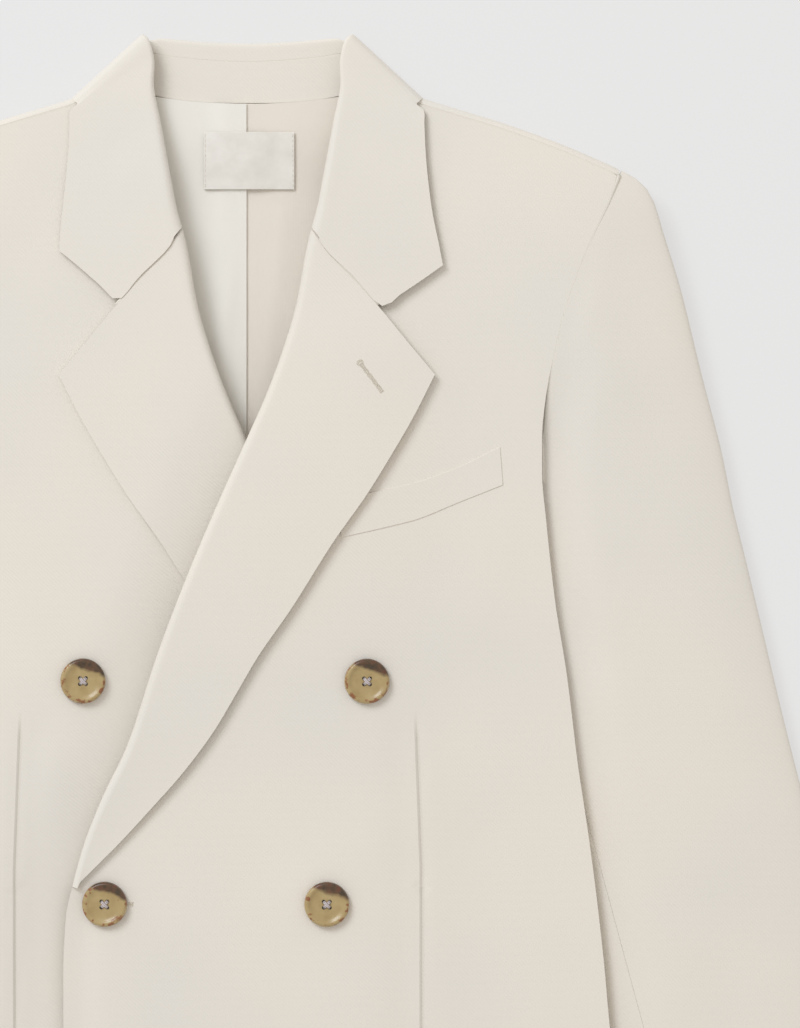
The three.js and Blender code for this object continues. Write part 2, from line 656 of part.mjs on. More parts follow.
function fromManifold(manifold) {
  const mesh = manifold.getMesh();
  const geometry = new THREE.BufferGeometry();
  geometry.setAttribute("position", new THREE.BufferAttribute(mesh.vertProperties, 3));
  geometry.setIndex([...mesh.triVerts]);
  return geometry;
}

function buttonGeometry() {
  const profile = BUTTON_PROFILE.map((p) => new THREE.Vector2(p.x * BUTTON_RADIUS, p.y * BUTTON_THICKNESS));
  const disc = new THREE.LatheGeometry(profile, BUTTON_SIDES).rotateX(Math.PI / 2);
  let body = asManifold(disc);
  for (const quarter of [0, 1, 2, 3]) {
    const angle = Math.PI / 4 + (quarter * Math.PI) / 2;
    const drill = new THREE.CylinderGeometry(HOLE.radius, HOLE.radius, 4 * BUTTON_THICKNESS, HOLE.sides);
    drill.rotateX(Math.PI / 2);
    drill.translate(HOLE.offset * Math.cos(angle), HOLE.offset * Math.sin(angle), 0);
    body = body.subtract(asManifold(drill));
  }
  return fromManifold(body);
}

// A button lies along the cloth under it, on the highest point that it covers
function button({ name, x, y, side }) {
  const top = (px, py) => (side > 0 ? overRise(px, py) : underRise(px, py)) + CLOTH;
  const reach = BUTTON_RADIUS * 0.7;
  const slopeX = (top(x + reach, y) - top(x - reach, y)) / (2 * reach);
  const slopeY = (top(x, y + reach) - top(x, y - reach)) / (2 * reach);
  const normal = new THREE.Vector3(-slopeX, -slopeY, 1).normalize();
  const mesh = piece(name, buttonGeometry(), HORN, 0.3);
  mesh.quaternion.setFromUnitVectors(new THREE.Vector3(0, 0, 1), normal);
  mesh.position.set(x, y, top(x, y) + 2 * GAP);
  return mesh;
}

const blazer = new THREE.Group();
for (const side of [1, -1]) {
  blazer.add(front(side), facing(side), back(side), sidePanel(side), ...sleeve(side));
}
blazer.add(collarFall(), collarStand(), lining(1), lining(-1), label(), welt());
blazer.add(...BUTTONS.map(button));
export default blazer;
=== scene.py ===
import math

import bpy
import numpy as np
from mathutils import Matrix, Vector


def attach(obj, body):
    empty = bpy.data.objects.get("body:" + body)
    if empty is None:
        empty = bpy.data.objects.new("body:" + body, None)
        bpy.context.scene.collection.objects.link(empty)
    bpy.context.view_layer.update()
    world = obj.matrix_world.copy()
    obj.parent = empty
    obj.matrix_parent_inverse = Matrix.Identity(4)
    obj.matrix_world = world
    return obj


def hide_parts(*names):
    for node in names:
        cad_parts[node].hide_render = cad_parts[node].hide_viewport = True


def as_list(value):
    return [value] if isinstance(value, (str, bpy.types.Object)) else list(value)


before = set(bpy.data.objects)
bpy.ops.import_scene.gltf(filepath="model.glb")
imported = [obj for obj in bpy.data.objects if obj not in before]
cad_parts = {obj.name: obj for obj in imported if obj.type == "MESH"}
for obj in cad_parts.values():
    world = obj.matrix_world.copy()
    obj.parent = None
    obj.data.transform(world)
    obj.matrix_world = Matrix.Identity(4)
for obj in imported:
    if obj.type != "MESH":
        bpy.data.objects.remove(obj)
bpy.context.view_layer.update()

# Everything is worked out in millimetres, in the frame of the solids, and made in metres.
MM = 0.001

# Walls and gaps
CLOTH = 1.3
FACING = 1.2
COLLAR = 2.0
LINING = 1.0
BACK = 1.8
WELT = 1.2
LABEL = 1.0
GAP = 0.35

# Driving dimensions
LENGTH = 775
HEM_Y = -LENGTH / 2
V_Y = 165
BREAK_Y = -82
ARMPIT_Y = 145
ROLL_RADIUS = 2.6
SHOULDER_ROUND = 3.6
BUTTON_RADIUS = 12.4
BUTTON_THICKNESS = 3.6

# Look: surface tones from 0 to 255, then the lights, whose colours are plain factors, and the view
IVORY_LOW = (236, 232, 225)
IVORY_HIGH = (242, 235, 224)
# One cream lining in two copies: the left half's darker tones are painted shade, the right half's
# are its lit tone
LINING_LIT_AND_SHADED_TONES = {
    "left": ((236, 228, 217), (241, 234, 223)),
    "right": ((241, 239, 232), (246, 242, 234)),
}
# Which way the dark crescent lies from a button's middle
CRESCENT = (0.34, 0.94)
# The floor glows, though it is no lamp: a painted glow that washes out the shadows cast on it
FLOOR_SHADE = 150
FLOOR_GLOW = 0.52
FLOOR_HALF = 3000
FLOOR_LEVEL = -0.4
WORLD_STRENGTH = 0.64
SKY_COLOUR = (1, 0.965, 0.92, 1)
KEY_WATTS = 92
KEY_SIZE = 2.0
KEY_COLOUR = (0.95, 1.0, 1.07)
KEY_SPOT = (-2.1, 2.6, 3.3)
KEY_AIM = (0.08, 0.05, 0)
CAMERA_SPOT = (0.0842, 0.1229, 3.018)
CAMERA_LENS = 191
CAMERA_SENSOR = 36


# Small mathematics
def clamp01(t):
    return min(1.0, max(0.0, t))


def mix(a, b, t):
    return a + (b - a) * t


def ramp(value, start, end):
    t = clamp01((value - start) / (end - start))
    return t * t * (3 - 2 * t)


def bell(value, width):
    return math.exp(-((value / width) ** 2))


def steps(count):
    return [i / count for i in range(count + 1)]


def unit(v):
    return v / np.linalg.norm(v)


def hermite(a, b, leave, arrive, t):
    t2, t3 = t * t, t * t * t
    return ((2 * t3 - 3 * t2 + 1) * a + (t3 - 2 * t2 + t) * leave
            + (3 * t2 - 2 * t3) * b + (t3 - t2) * arrive)


def grid_of(rows, columns, point):
    return [[point(r, c) for c in columns] for r in rows]


class Table:
    """Rows with named columns, read smoothly at any height y; y falls down the table."""

    def __init__(self, columns, rows):
        self.rows = [dict(zip(columns, row)) for row in rows]
        self.y = [row["y"] for row in self.rows] if "y" in columns else None
        self.columns = {c: [row[c] for row in self.rows] for c in columns}

    def points(self):
        return [(row["x"], row["y"]) for row in self.rows]

    def read(self, column, y):
        values = self.columns[column]
        if y >= self.y[0]:
            return values[0]
        if y <= self.y[-1]:
            return values[-1]
        i = next(k for k in range(1, len(values)) if y >= self.y[k])
        span = self.y[i] - self.y[i - 1]
        t = (y - self.y[i - 1]) / span

        def slope(k):
            if k <= 0 or k >= len(values) - 1:
                j = min(max(k, 1), len(values) - 1)
                return (values[j] - values[j - 1]) / (self.y[j] - self.y[j - 1])
            before = (values[k] - values[k - 1]) / (self.y[k] - self.y[k - 1])
            after = (values[k + 1] - values[k]) / (self.y[k + 1] - self.y[k])
            return 0 if before * after <= 0 else 2 * before * after / (before + after)

        return hermite(values[i - 1], values[i], slope(i - 1) * span, slope(i) * span, t)


LINE_SAMPLES = 24


def line(table):
    """A smooth line through a table's x and y, walked by its own length from 0 to 1."""
    points = np.array(table.points(), float)
    ends = np.vstack([2 * points[0] - points[1], points, 2 * points[-1] - points[-2]])
    fine = []
    for i in range(1, len(ends) - 2):
        p0, p1, p2, p3 = ends[i - 1:i + 3]
        for t in np.linspace(0, 1, LINE_SAMPLES, endpoint=False):
            fine.append(0.5 * (2 * p1 + (p2 - p0) * t + (2 * p0 - 5 * p1 + 4 * p2 - p3) * t * t
                               + (3 * p1 - p0 - 3 * p2 + p3) * t ** 3))
    fine = np.array(fine + [points[-1]])
    length = np.concatenate([[0], np.cumsum(np.linalg.norm(np.diff(fine, axis=0), axis=1))])
    length /= length[-1]
    return lambda t: np.array([np.interp(clamp01(t), length, fine[:, k]) for k in (0, 1)])


# The visible fold of the left front: collar corner, down the lapel's roll to the break
ROLL = Table(["x", "y"], [
    [51.2, 358], [47.3, 338], [42.9, 314], [38.5, 288], [31.9, 262], [26.4, 235], [19.8, 213],
    [11.0, 189], [0.5, 165], [-16.5, 127], [-33.0, 88], [-49.0, 46], [-66.0, -5], [-79.0, -32],
    [-90.0, -60], [-96.0, -82], [-99.5, -98], [-101, -130], [-101, -250], [-100, -350],
    [-97, HEM_Y],
])
LAPEL_TOP = Table(["x", "y"], [
    [37.0, 275], [43, 267], [58.3, 252], [73.2, 236], [88, 218.6], [102.5, 202],
])
LAPEL_EDGE = Table(["x", "y"], [
    [103.4, 199.5], [91.5, 176], [78.7, 154], [65, 132], [47.3, 107], [25.3, 72], [7.2, 46],
    [-5.5, 24.5], [-18.7, 2.5], [-35.2, -19.5], [-53.4, -40], [-70, -58], [-81, -69], [-92, -80],
])
# Armhole seam, then the crisp side edge of the front down to the hem
SIDE = Table(["x", "y"], [
    [204, 308.4], [198, 293.4], [189.8, 275.8], [182, 256], [174.4, 234], [168.3, 208],
    [164.5, 188], [162.3, 165], [162.3, 145], [164.4, 121], [169.4, 75.6], [176, 34],
    [182, -14.6], [187.6, -52], [192, -85], [196.4, -124], [199.7, -160], [206, -210],
    [214, -272], [222, -335], [228.5, HEM_Y],
])
SHOULDER = Table(["x", "y"], [
    [79, 361], [96, 352.6], [114, 347], [143, 338], [172.7, 327.1], [199, 315.8], [205.5, 312.5],
])
RISE = Table(["y", "middle", "side"], [
    [360, 12, 15], [330, 12.5, 18], [300, 14, 19], [240, 15.5, 17.5], [165, 16, 17], [60, 16, 17],
    [-60, 15, 17], [-160, 13.5, 16], [-280, 10.5, 11], [HEM_Y, 8.5, 8.5],
])
SINK = Table(["y", "depth"], [
    [260, 0], [200, 5.5], [0, 6.5], [-80, 6.5], [-250, 3.6], [HEM_Y, 1.8],
])


CROSSING = 7.5
LAP = 2
HUMP = 3.2
BACK_TOP = 296


def half_width(y):
    return SIDE.read("x", y)


def roll_x(y):
    return ROLL.read("x", y)


def body_rise(x, y):
    """Underside of a front where nothing lies under it."""
    out = clamp01(abs(x) / half_width(y)) ** 2
    return mix(RISE.read("middle", y), RISE.read("side", y), out)


def over_rise(x, y):
    """The over front rides up on the crossed lapels and on the lap of the other front."""
    crossing = CROSSING * bell(x, 95) * bell(y - 125, 125)
    lap = LAP * ramp(x, 125, 60) * ramp(y, 260, 200)
    return body_rise(x, y) + crossing + lap


def under_rise(x, y):
    """The under front sinks where the over front covers it."""
    covered = ramp(x - roll_x(y), -42, 22)
    return body_rise(x, y) - SINK.read("depth", y) * covered


def rise_of(side):
    return over_rise if side > 0 else lambda x, y: under_rise(-x, y)


def back_rise(x, y):
    """The back lies on the surface, and over the collar's hidden part at the neck."""
    return HUMP * ramp(y, BACK_TOP, BACK_TOP + 40) * ramp(abs(x), 116, 96)


def side_name(side):
    return "left" if side > 0 else "right"


def mirrored(grid, side):
    return [[(x * side, y, z) for x, y, z in row] for row in grid]


# Soft troughs and ridges: each runs from x, y to end_x, end_y, and has lost the
# share fade of its depth by its end
FOLD_COLUMNS = ["x", "y", "end_x", "end_y", "width", "depth", "fade"]
FOLDS = Table(FOLD_COLUMNS, [
    [-90, -92, -93, -330, 7, -1.3, 0.75],
    [-60, -95, 30, -150, 16, 1.0, 0.8],
    [-62, -100, 0, -220, 18, -0.9, 0.8],
    [30, -88, 120, -20, 20, 0.9, 0.9],
    [55, -100, 60, -360, 24, 0.9, 0.5],
    [130, -60, 150, -370, 22, -0.9, 0.5],
    [120, 60, 150, 150, 20, 0.8, 0.8],
    [-150, -40, -140, -370, 22, 0.9, 0.5],
    [-120, 40, -150, 160, 18, 0.7, 0.8],
    [105, 300, 150, 230, 20, -0.8, 0.8],
    [-108, 296, -148, 220, 18, -0.8, 0.8],
    [-30, -200, -20, HEM_Y, 26, -0.8, 0.4],
])
# Darts: the left one's line, and how far the right one stands further out
DART_X = Table(["x", "y"], [[93.2, 14], [94.6, -6.3], [95.7, -37.7], [96.2, -67.4], [97, HEM_Y]])
DART_TOP = 14
DART_DEPTH = 0.55
DART_WIDTH = 1.5
DART_PULL = 0.6
DART_SHIFT = {1: 0, -1: 31}
# The same line for the material: a slant from this place, then straight down
DART_START = (93.2, DART_TOP)
DART_SLANT = 0.037
DART_STRAIGHT = 96.4
DART_HALF = 1.5


def fold_field(x, y, folds):
    total = 0.0
    for fold in folds.rows:
        along = x - fold["x"], y - fold["y"]
        dx, dy = fold["end_x"] - fold["x"], fold["end_y"] - fold["y"]
        t = clamp01((along[0] * dx + along[1] * dy) / (dx * dx + dy * dy))
        away = math.hypot(along[0] - t * dx, along[1] - t * dy)
        total += fold["depth"] * (1 - fold["fade"] * t) * bell(away, fold["width"])
    return total


def dart_field(x, y, side):
    near = x - DART_X.read("x", y) - DART_SHIFT[side]
    start = ramp(y, DART_TOP, DART_TOP - 12)
    return -start * (DART_DEPTH * bell(near, DART_WIDTH) + DART_PULL * bell(near + 9, 8))


def worn(rise, side):
    """The plain rise of a front, with its creases and its dart pressed in."""
    def height(x, y):
        return rise(x, y) + fold_field(side * x, y, FOLDS) + dart_field(x, y, side)
    return height


shoulder_line = line(SHOULDER)
lapel_top = line(LAPEL_TOP)
lapel_edge = line(LAPEL_EDGE)


def shoulder_at(t):
    along = unit(shoulder_line(t + 0.02) - shoulder_line(t - 0.02))
    return shoulder_line(t), np.array([-along[1], along[0]])


def shoulder_seam(t):
    here, out = shoulder_at(t)
    return here - out * (SHOULDER_ROUND + 2 * GAP)


# Rows of a front, by the height of each on its inner edge
GORGE_Y = 275
UPPER_ROWS = [GORGE_Y + (BREAK_Y - GORGE_Y) * t for t in steps(56)]
LOWER_ROWS = [BREAK_Y - 0.6] + [BREAK_Y + (HEM_Y - BREAK_Y) * t for t in steps(44)][1:]
FRONT_ROWS = UPPER_ROWS + LOWER_ROWS
BREAK_ROW = len(UPPER_ROWS) - 1
BODY_STEPS = steps(72)
LAPEL_STEPS = steps(30)
FOLD_TURNS = [math.pi * k / 12 for k in range(1, 12)]
NECK_SHARE = 7 / 12
NECK_BOW = 1.6
LAPEL_BEND_SHARE = 0.3
BREAK_RADIUS = 1.65
FACING_TUCK = (12, 8, 4)
OPEN_EDGE = {1: 2.0, -1: 0.8}
CLOSED_EDGE = 0.5
GORGE_SLANT = 1.1


def fold_at(y, rise):
    slope = (roll_x(y + 8) - roll_x(y - 8)) / 16
    into = unit(np.array([1, -slope]))
    radius = mix(ROLL_RADIUS, BREAK_RADIUS, ramp(y, 0, BREAK_Y))
    centre = np.array([roll_x(y), y]) + into * (radius + GAP + FACING)
    return dict(y=y, centre=centre, into=into, radius=radius, level=rise(*centre) + radius)


def front_top(f, fold):
    if f <= NECK_SHARE:
        return shoulder_seam(1 - f / NECK_SHARE)
    down = (f - NECK_SHARE) / (1 - NECK_SHARE)
    place = mix(shoulder_seam(0), fold["centre"], down)
    return place + np.array([NECK_BOW * math.sin(math.pi * down), 0])


def body_places(folds):
    top = [front_top(f, folds[0]) for f in BODY_STEPS]
    tip, end = top[0], top[-1]
    rows = []
    for i, y in enumerate(FRONT_ROWS):
        side_y = y + (tip[1] - GORGE_Y) * ramp(y, V_Y, GORGE_Y)
        left = tip if i == 0 else np.array([half_width(side_y), side_y])
        right = folds[i]["centre"] if i <= BREAK_ROW else np.array([roll_x(y), y])
        bend = 1 - clamp01((GORGE_Y - y) / (GORGE_Y - V_Y))
        rows.append([mix(left, right, f) + (top[j] - mix(tip, end, f)) * bend
                     for j, f in enumerate(BODY_STEPS)])
    return rows


def lapel_places(folds):
    rows = []
    for i, fold in enumerate(folds):
        share = (GORGE_Y - FRONT_ROWS[i]) / (GORGE_Y - BREAK_Y)
        edge = lapel_edge(share)
        bend = (1 - clamp01(share / LAPEL_BEND_SHARE)) ** 1.5
        rows.append([mix(fold["centre"], edge, f)
                     + (lapel_top(f) - mix(lapel_top(0), lapel_top(1), f)) * bend
                     for f in LAPEL_STEPS])
    return rows


def lapel_rise(place, f, y, side, rise):
    """Upper face of the lapel's lower layer. It springs off the body towards its edge."""
    edge = mix(OPEN_EDGE[side], CLOSED_EDGE, ramp(y, 40, BREAK_Y))
    spring = 2 * (fold_at(y, rise)["radius"] - CLOTH) - edge
    return rise(*place) + 2 * CLOTH + edge + spring * (1 - f) ** 1.5


def turned(fold, radius, angle):
    """A point on the roll. The rows lean up at the gorge, as the collar's rows do."""
    x, y = fold["centre"] - fold["into"] * radius * math.sin(angle)
    slant = GORGE_SLANT * radius * math.sin(angle) * ramp(fold["y"], 245, GORGE_Y)
    return (x, y + slant, fold["level"] - radius * math.cos(angle))


def front_grids(side):
    """Both faces of a front and of its facing, worked out together."""
    rise = worn(rise_of(side), side)
    folds = [fold_at(y, rise) for y in UPPER_ROWS]
    body = body_places(folds)
    lapel = lapel_places(folds)
    body_z = [[rise(*p) for p in row] for row in body]
    lapel_z = [[lapel_rise(p, LAPEL_STEPS[j], UPPER_ROWS[i], side, rise)
                for j, p in enumerate(row)] for i, row in enumerate(lapel)]

    def cloth(lift, lapel_drop):
        rows = []
        for i in range(len(FRONT_ROWS)):
            k = min(i, BREAK_ROW)
            flat = [(p[0], p[1], body_z[i][j] + lift) for j, p in enumerate(body[i])]
            arc = [turned(folds[k], folds[k]["radius"] - lift, a) for a in FOLD_TURNS]
            flap = [(p[0], p[1], lapel_z[k][j] - lapel_drop) for j, p in enumerate(lapel[k])]
            rows.append(flat + arc + flap)
        return mirrored(rows, side)

    def facing(out):
        rows = []
        for i, fold in enumerate(folds):
            tucked = [fold["centre"] + fold["into"] * reach for reach in FACING_TUCK]
            strip = [(*place, rise(*place) - out - GAP) for place in tucked]
            start = (*fold["centre"], fold["level"] - fold["radius"] - out)
            arc = [turned(fold, fold["radius"] + out, a) for a in FOLD_TURNS]
            flap = [(p[0], p[1], lapel_z[i][j] + out) for j, p in enumerate(lapel[i])]
            rows.append(strip + [start] + arc + flap)
        return mirrored(rows, side)

    return cloth(0, 0), cloth(CLOTH, CLOTH), facing(GAP), facing(GAP + FACING)


# Making meshes
def put_in_scene(name, data):
    thing = bpy.data.objects.new(name, data)
    bpy.context.scene.collection.objects.link(thing)
    return thing


def make_mesh(name, points, faces):
    mesh = bpy.data.meshes.new(name)
    mesh.from_pydata([(x * MM, y * MM, z * MM) for x, y, z in points], [], faces)
    mesh.validate()
    for polygon in mesh.polygons:
        polygon.use_smooth = True
    return put_in_scene(name, mesh)


SHARP_ANGLE = math.radians(50)
ROUNDED_ANGLE = math.radians(55)
EDGE_SOFTNESS = 0.2


def soften(piece):
    """Rounds the cut edges of a wall a little, as pressed cloth does."""
    bevel = piece.modifiers.new("pressed_edge", "BEVEL")
    bevel.width = EDGE_SOFTNESS * MM
    bevel.segments = 2
    bevel.limit_method = "ANGLE"
    bevel.angle_limit = ROUNDED_ANGLE
    piece.data.set_sharp_from_angle(angle=SHARP_ANGLE)


def wall(name, face, rear, keep=lambda i, j: True):
    """A closed wall between two grids of points; cells that keep() turns down are left out."""
    rows, columns = len(face), len(face[0])
    points = [p for row in face for p in row] + [p for row in rear for p in row]
    layer = rows * columns
    faces = []

    def has(i, j):
        return 0 <= i < rows - 1 and 0 <= j < columns - 1 and keep(i, j)

    for i in range(rows - 1):
        for j in range(columns - 1):
            if not has(i, j):
                continue
            a = i * columns + j
            b, c, d = a + 1, a + columns + 1, a + columns
            faces.append((a, b, c, d))
            faces.append((d + layer, c + layer, b + layer, a + layer))
            for p, q, beside in ((b, a, (i - 1, j)), (d, c, (i + 1, j)),
                                 (a, d, (i, j - 1)), (c, b, (i, j + 1))):
                if not has(*beside):
                    faces.append((p, q, q + layer, p + layer))
    used = sorted({k for face_points in faces for k in face_points})
    places = {k: n for n, k in enumerate(used)}
    faces = [tuple(places[k] for k in f) for f in faces]
    points = [points[k] for k in used]
    volume = sum(np.dot(points[f[0]], np.cross(points[f[1]], points[f[2]]))
                 + np.dot(points[f[0]], np.cross(points[f[2]], points[f[3]])) for f in faces)
    if volume < 0:
        faces = [f[::-1] for f in faces]
    piece = make_mesh(name, points, faces)
    soften(piece)
    return piece


def cut_size(grid, keep=lambda i, j: True):
    """Flat size of a panel: its longest row and column, and its area, in metres."""
    g = np.array(grid, float) * MM
    kept = np.array(grid_of(range(len(g) - 1), range(len(g[0]) - 1), keep))
    along_rows = np.linalg.norm(np.diff(g, axis=1), axis=2)[:-1]
    along_columns = np.linalg.norm(np.diff(g, axis=0), axis=2)[:, :-1]
    diagonals = g[1:, 1:] - g[:-1, :-1], g[1:, :-1] - g[:-1, 1:]
    areas = np.linalg.norm(np.cross(*diagonals), axis=2) / 2
    width = (along_rows * kept).sum(axis=1).max()
    length = (along_columns * kept).sum(axis=0).max()
    return float(width), float(length), float((areas * kept).sum())


def cloth_piece(node, material, face, rear, rests_on, keep=lambda i, j: True, slot="cloth"):
    """One panel: its wall, its flat size, and the solid that it stands for."""
    piece = wall(node + "_cloth", face, rear, keep)
    piece.data.materials.append(material)
    width, length, area = cut_size(face, keep)
    long_side = max(length, area / width)
    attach(piece, "root")
    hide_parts(node)
    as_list(rests_on)
    return piece


def fronts(darted, material):
    """Makes the fronts and facings, and hands back the upper faces of the facings."""
    facings = {}
    for side in (1, -1):
        inside, outside, low, high = front_grids(side)
        name = side_name(side)
        front = cloth_piece("front_" + name, darted[side], inside, outside,
                            ["back_left", "back_right"],
                            keep=lambda i, j: j < len(BODY_STEPS) - 1 or i < BREAK_ROW)
        cloth_piece("facing_" + name, material, low, high, [front])
        facings[name] = high
    return facings


# Back, side panels and sleeves
NECK_SEAM_Y = 349.3
NECK_DROP = 6
BACK_ROWS = [HEM_Y + (BACK_TOP - HEM_Y) * t for t in steps(40)]
NECK_COLUMNS = 12
BACK_STEPS = steps(NECK_COLUMNS + 42)
SHOULDER_TURNS = [math.radians(a) for a in (-68, -46, -24, 0, 24, 46, 68, 90)]


def back_grids(side):
    rise = rise_of(side)
    neck, out = shoulder_at(0)
    edge = neck - out * SHOULDER_ROUND
    tops = []
    for j in range(len(BACK_STEPS)):
        if j < NECK_COLUMNS:
            t = j / NECK_COLUMNS
            y = mix(NECK_SEAM_Y, edge[1], t ** 2) - NECK_DROP * t * (1 - t)
            tops.append((np.array([mix(GAP / 2, edge[0], t), y]), np.zeros(2)))
        else:
            here, away = shoulder_at((j - NECK_COLUMNS) / (len(BACK_STEPS) - 1 - NECK_COLUMNS))
            tops.append((here - away * SHOULDER_ROUND, away))
    first, last = tops[0][0], tops[-1][0]
    flat = []
    for y in BACK_ROWS:
        bend = ramp(y, ARMPIT_Y, last[1])
        middle = np.array([GAP / 2, y + (first[1] - last[1]) * bend])
        rim = np.array([half_width(y) - GAP, y])
        flat.append([mix(middle, rim, f) + (tops[j][0] - mix(first, last, f)) * bend
                     for j, f in enumerate(BACK_STEPS)])
    flat.append([place for place, _ in tops])

    def layer(lift):
        rows = [[(p[0], p[1], back_rise(*p) + lift) for p in row] for row in flat]
        for angle in SHOULDER_TURNS:
            row = []
            for place, away in tops:
                low = back_rise(*place)
                high = rise(*place) + CLOTH
                spot = place + away * (SHOULDER_ROUND - lift) * math.cos(angle)
                z = (high + low) / 2 + ((high - low) / 2 - lift) * math.sin(angle)
                row.append((spot[0], spot[1], z))
            rows.append(row)
        return mirrored(rows, side)
    return layer(0), layer(CLOTH)


def back_keeps(i, j):
    """The rows that turn over the shoulder start beside the neck."""
    return i < len(BACK_ROWS) or j >= NECK_COLUMNS


TUCK = Table(["y", "depth"], [[130, 72], [0, 60], [-85, 44], [-160, 30], [-300, 24], [HEM_Y, 20]])
SIDE_TOP = 118
SIDE_ROWS = [SIDE_TOP + (HEM_Y - SIDE_TOP) * t for t in steps(40)]
LEAF_STEPS = steps(8)


def side_grids(side):
    rise = worn(rise_of(side), side)
    low = BACK + GAP

    def layer(inset):
        rows = []
        for y in SIDE_ROWS:
            edge = half_width(y) - 1
            apex = edge - TUCK.read("depth", y)
            places = [mix(edge, apex + 4, f) for f in LEAF_STEPS]
            upper = [(x, y, rise(x, y) - GAP - inset) for x in reversed(places)]
            lower = [(x, y, low + inset) for x in places]
            middle = (upper[0][2] + low + inset) / 2
            rows.append(lower + [(apex + inset, y, middle)] + upper)
        return mirrored(rows, side)
    return layer(0), layer(CLOTH)


SLEEVE_OUTER = Table(["x", "y"], [
    [206, 312], [216.5, 306], [220.5, 301], [224.5, 293], [230, 275], [235.5, 258],
    [240.5, 240.6], [251, 198], [261, 160], [268, 126], [275, 97.6], [285.5, 53.6], [296.6, 7],
    [313, -58], [341, -170], [370, -286],
])
SLEEVE_INNER = Table(["x", "y"], [[108, 130], [132, 53.6], [168, -73], [192, -160], [237.6, -323]])
ARMHOLE = Table(["x", "y"], [
    [206.2, 312], [198.7, 293.4], [190.5, 275.8], [182.6, 256], [174.9, 234], [168.8, 208],
    [165, 188], [162.8, 165], [158, 150], [140, 140], [118, 136],
])
SLEEVE_HEIGHT = 17
CUFF_HEIGHT = 12
HEAD_STEP = 0.25
SLEEVE_ROWS = steps(75)
CAP_AT = 4 / 15
CAP_SHARE = 0.28
TUCKED_LIFT = BACK + CLOTH + 5 * GAP
FOLD_POWER = 0.62
HEAD_POWER = 0.16
SLEEVE_SEAMS = dict(front=0.82, back=0.14)
SEAM_ANGLE = 0.0015
outer_line = line(SLEEVE_OUTER)
inner_line = line(SLEEVE_INNER)
armhole_line = line(ARMHOLE)
# Creases of a sleeve, for a left one: at the head, at the elbow and towards the cuff
SLEEVE_FOLDS = Table(FOLD_COLUMNS, [
    [184, 250, 215, 120, 15, 0.9, 0.7],
    [214, 270, 236, 150, 17, -0.8, 0.7],
    [186, 60, 262, -20, 16, -0.8, 0.4],
    [196, 20, 270, -62, 18, 0.9, 0.5],
    [208, -70, 285, -120, 15, -0.7, 0.5],
    [240, 150, 268, 0, 20, 0.7, 0.4],
    [262, -130, 300, -280, 18, -0.8, 0.3],
    [230, -150, 262, -290, 16, 0.7, 0.3],
])


def sleeve_place(t, u):
    if t >= CAP_AT:
        down = (t - CAP_AT) / (1 - CAP_AT)
        return mix(outer_line(mix(CAP_SHARE, 1, down)), inner_line(down), u)
    down = t / CAP_AT
    place = mix(armhole_line(u), mix(outer_line(CAP_SHARE), inner_line(0), u), down)
    rim = outer_line(CAP_SHARE * down) - mix(outer_line(0), outer_line(CAP_SHARE), down)
    return place + rim * (1 - u) ** 2


def sleeve_floor(x, y):
    return TUCKED_LIFT * ramp(x - half_width(y), 20, 3) * ramp(y, 215, 150)


def sleeve_ceiling(x, y, t, rise):
    edge = half_width(y)
    edge_rise = rise(edge, y)
    height = mix(SLEEVE_HEIGHT + 3 * (1 - t), CUFF_HEIGHT, t)
    tucked = min(height, edge_rise - CLOTH - 3 * GAP - 2)
    below = mix(tucked, height, ramp(x - edge, 0, 30))
    return mix(below, edge_rise + CLOTH + HEAD_STEP, ramp(y, 150, 215) * ramp(t, CAP_AT * 1.5, 0))


def sleeve_grid(side, angles, inset):
    rise = rise_of(side)
    rows = []
    for t in SLEEVE_ROWS:
        width = np.linalg.norm(sleeve_place(t, 0) - sleeve_place(t, 1))
        row = []
        power = mix(HEAD_POWER, FOLD_POWER, ramp(t, 0, CAP_AT))
        for angle in angles:
            up = math.copysign(abs(math.sin(angle)) ** power, math.sin(angle))
            u = 0.5 - math.cos(angle) * (0.5 - inset / max(width, 1))
            x, y = sleeve_place(t, u)
            floor = sleeve_floor(x, y) + inset
            ceiling = sleeve_ceiling(x, y, t, rise) - inset
            clear = ramp(x - half_width(y), 4, 16) * max(0, math.sin(angle))
            crease = fold_field(x, y, SLEEVE_FOLDS) * clear
            row.append((x, y, (floor + ceiling) / 2 + up * (ceiling - floor) / 2 + crease))
        rows.append(row)
    return mirrored(rows, side)


def angle_of(u):
    return math.acos(1 - 2 * u)


def body_and_sleeves(material):
    front_angle = angle_of(SLEEVE_SEAMS["front"])
    rear_angle = -angle_of(SLEEVE_SEAMS["back"])
    top = [mix(front_angle - SEAM_ANGLE, rear_angle + SEAM_ANGLE, t) for t in steps(56)]
    under = [mix(front_angle + SEAM_ANGLE, 2 * math.pi + rear_angle - SEAM_ANGLE, t)
             for t in steps(44)]
    for side in (1, -1):
        name = side_name(side)
        back = cloth_piece("back_" + name, material, *back_grids(side), [], back_keeps)
        cloth_piece("side_" + name, material, *side_grids(side), [back])
        for node, angles in (("sleeve_top_", top), ("sleeve_under_", under)):
            grids = [sleeve_grid(side, angles, inset) for inset in (0, CLOTH)]
            cloth_piece(node + name, material, *grids, [back])


# Collar
STAND_CLOTH = 1.3
COLLAR_STEPS = steps(16)
COLLAR_ROUND = 5
COLLAR_BEND_ROWS = 5
COLLAR_ARC = [math.pi * k / 12 for k in range(13)]
CORNER_TURNS = [90, 62, 32, 0, -32, -62, -90]
BETWEEN = 6
OPEN_TOP = {1: 5.7, -1: 4.6}
NOTCH = Table(["x", "y"], [
    [39.5, 275.4], [43.6, 268], [58.9, 253.2], [73.9, 237.4], [85, 244], [97, 252], [107.8, 259.6],
])
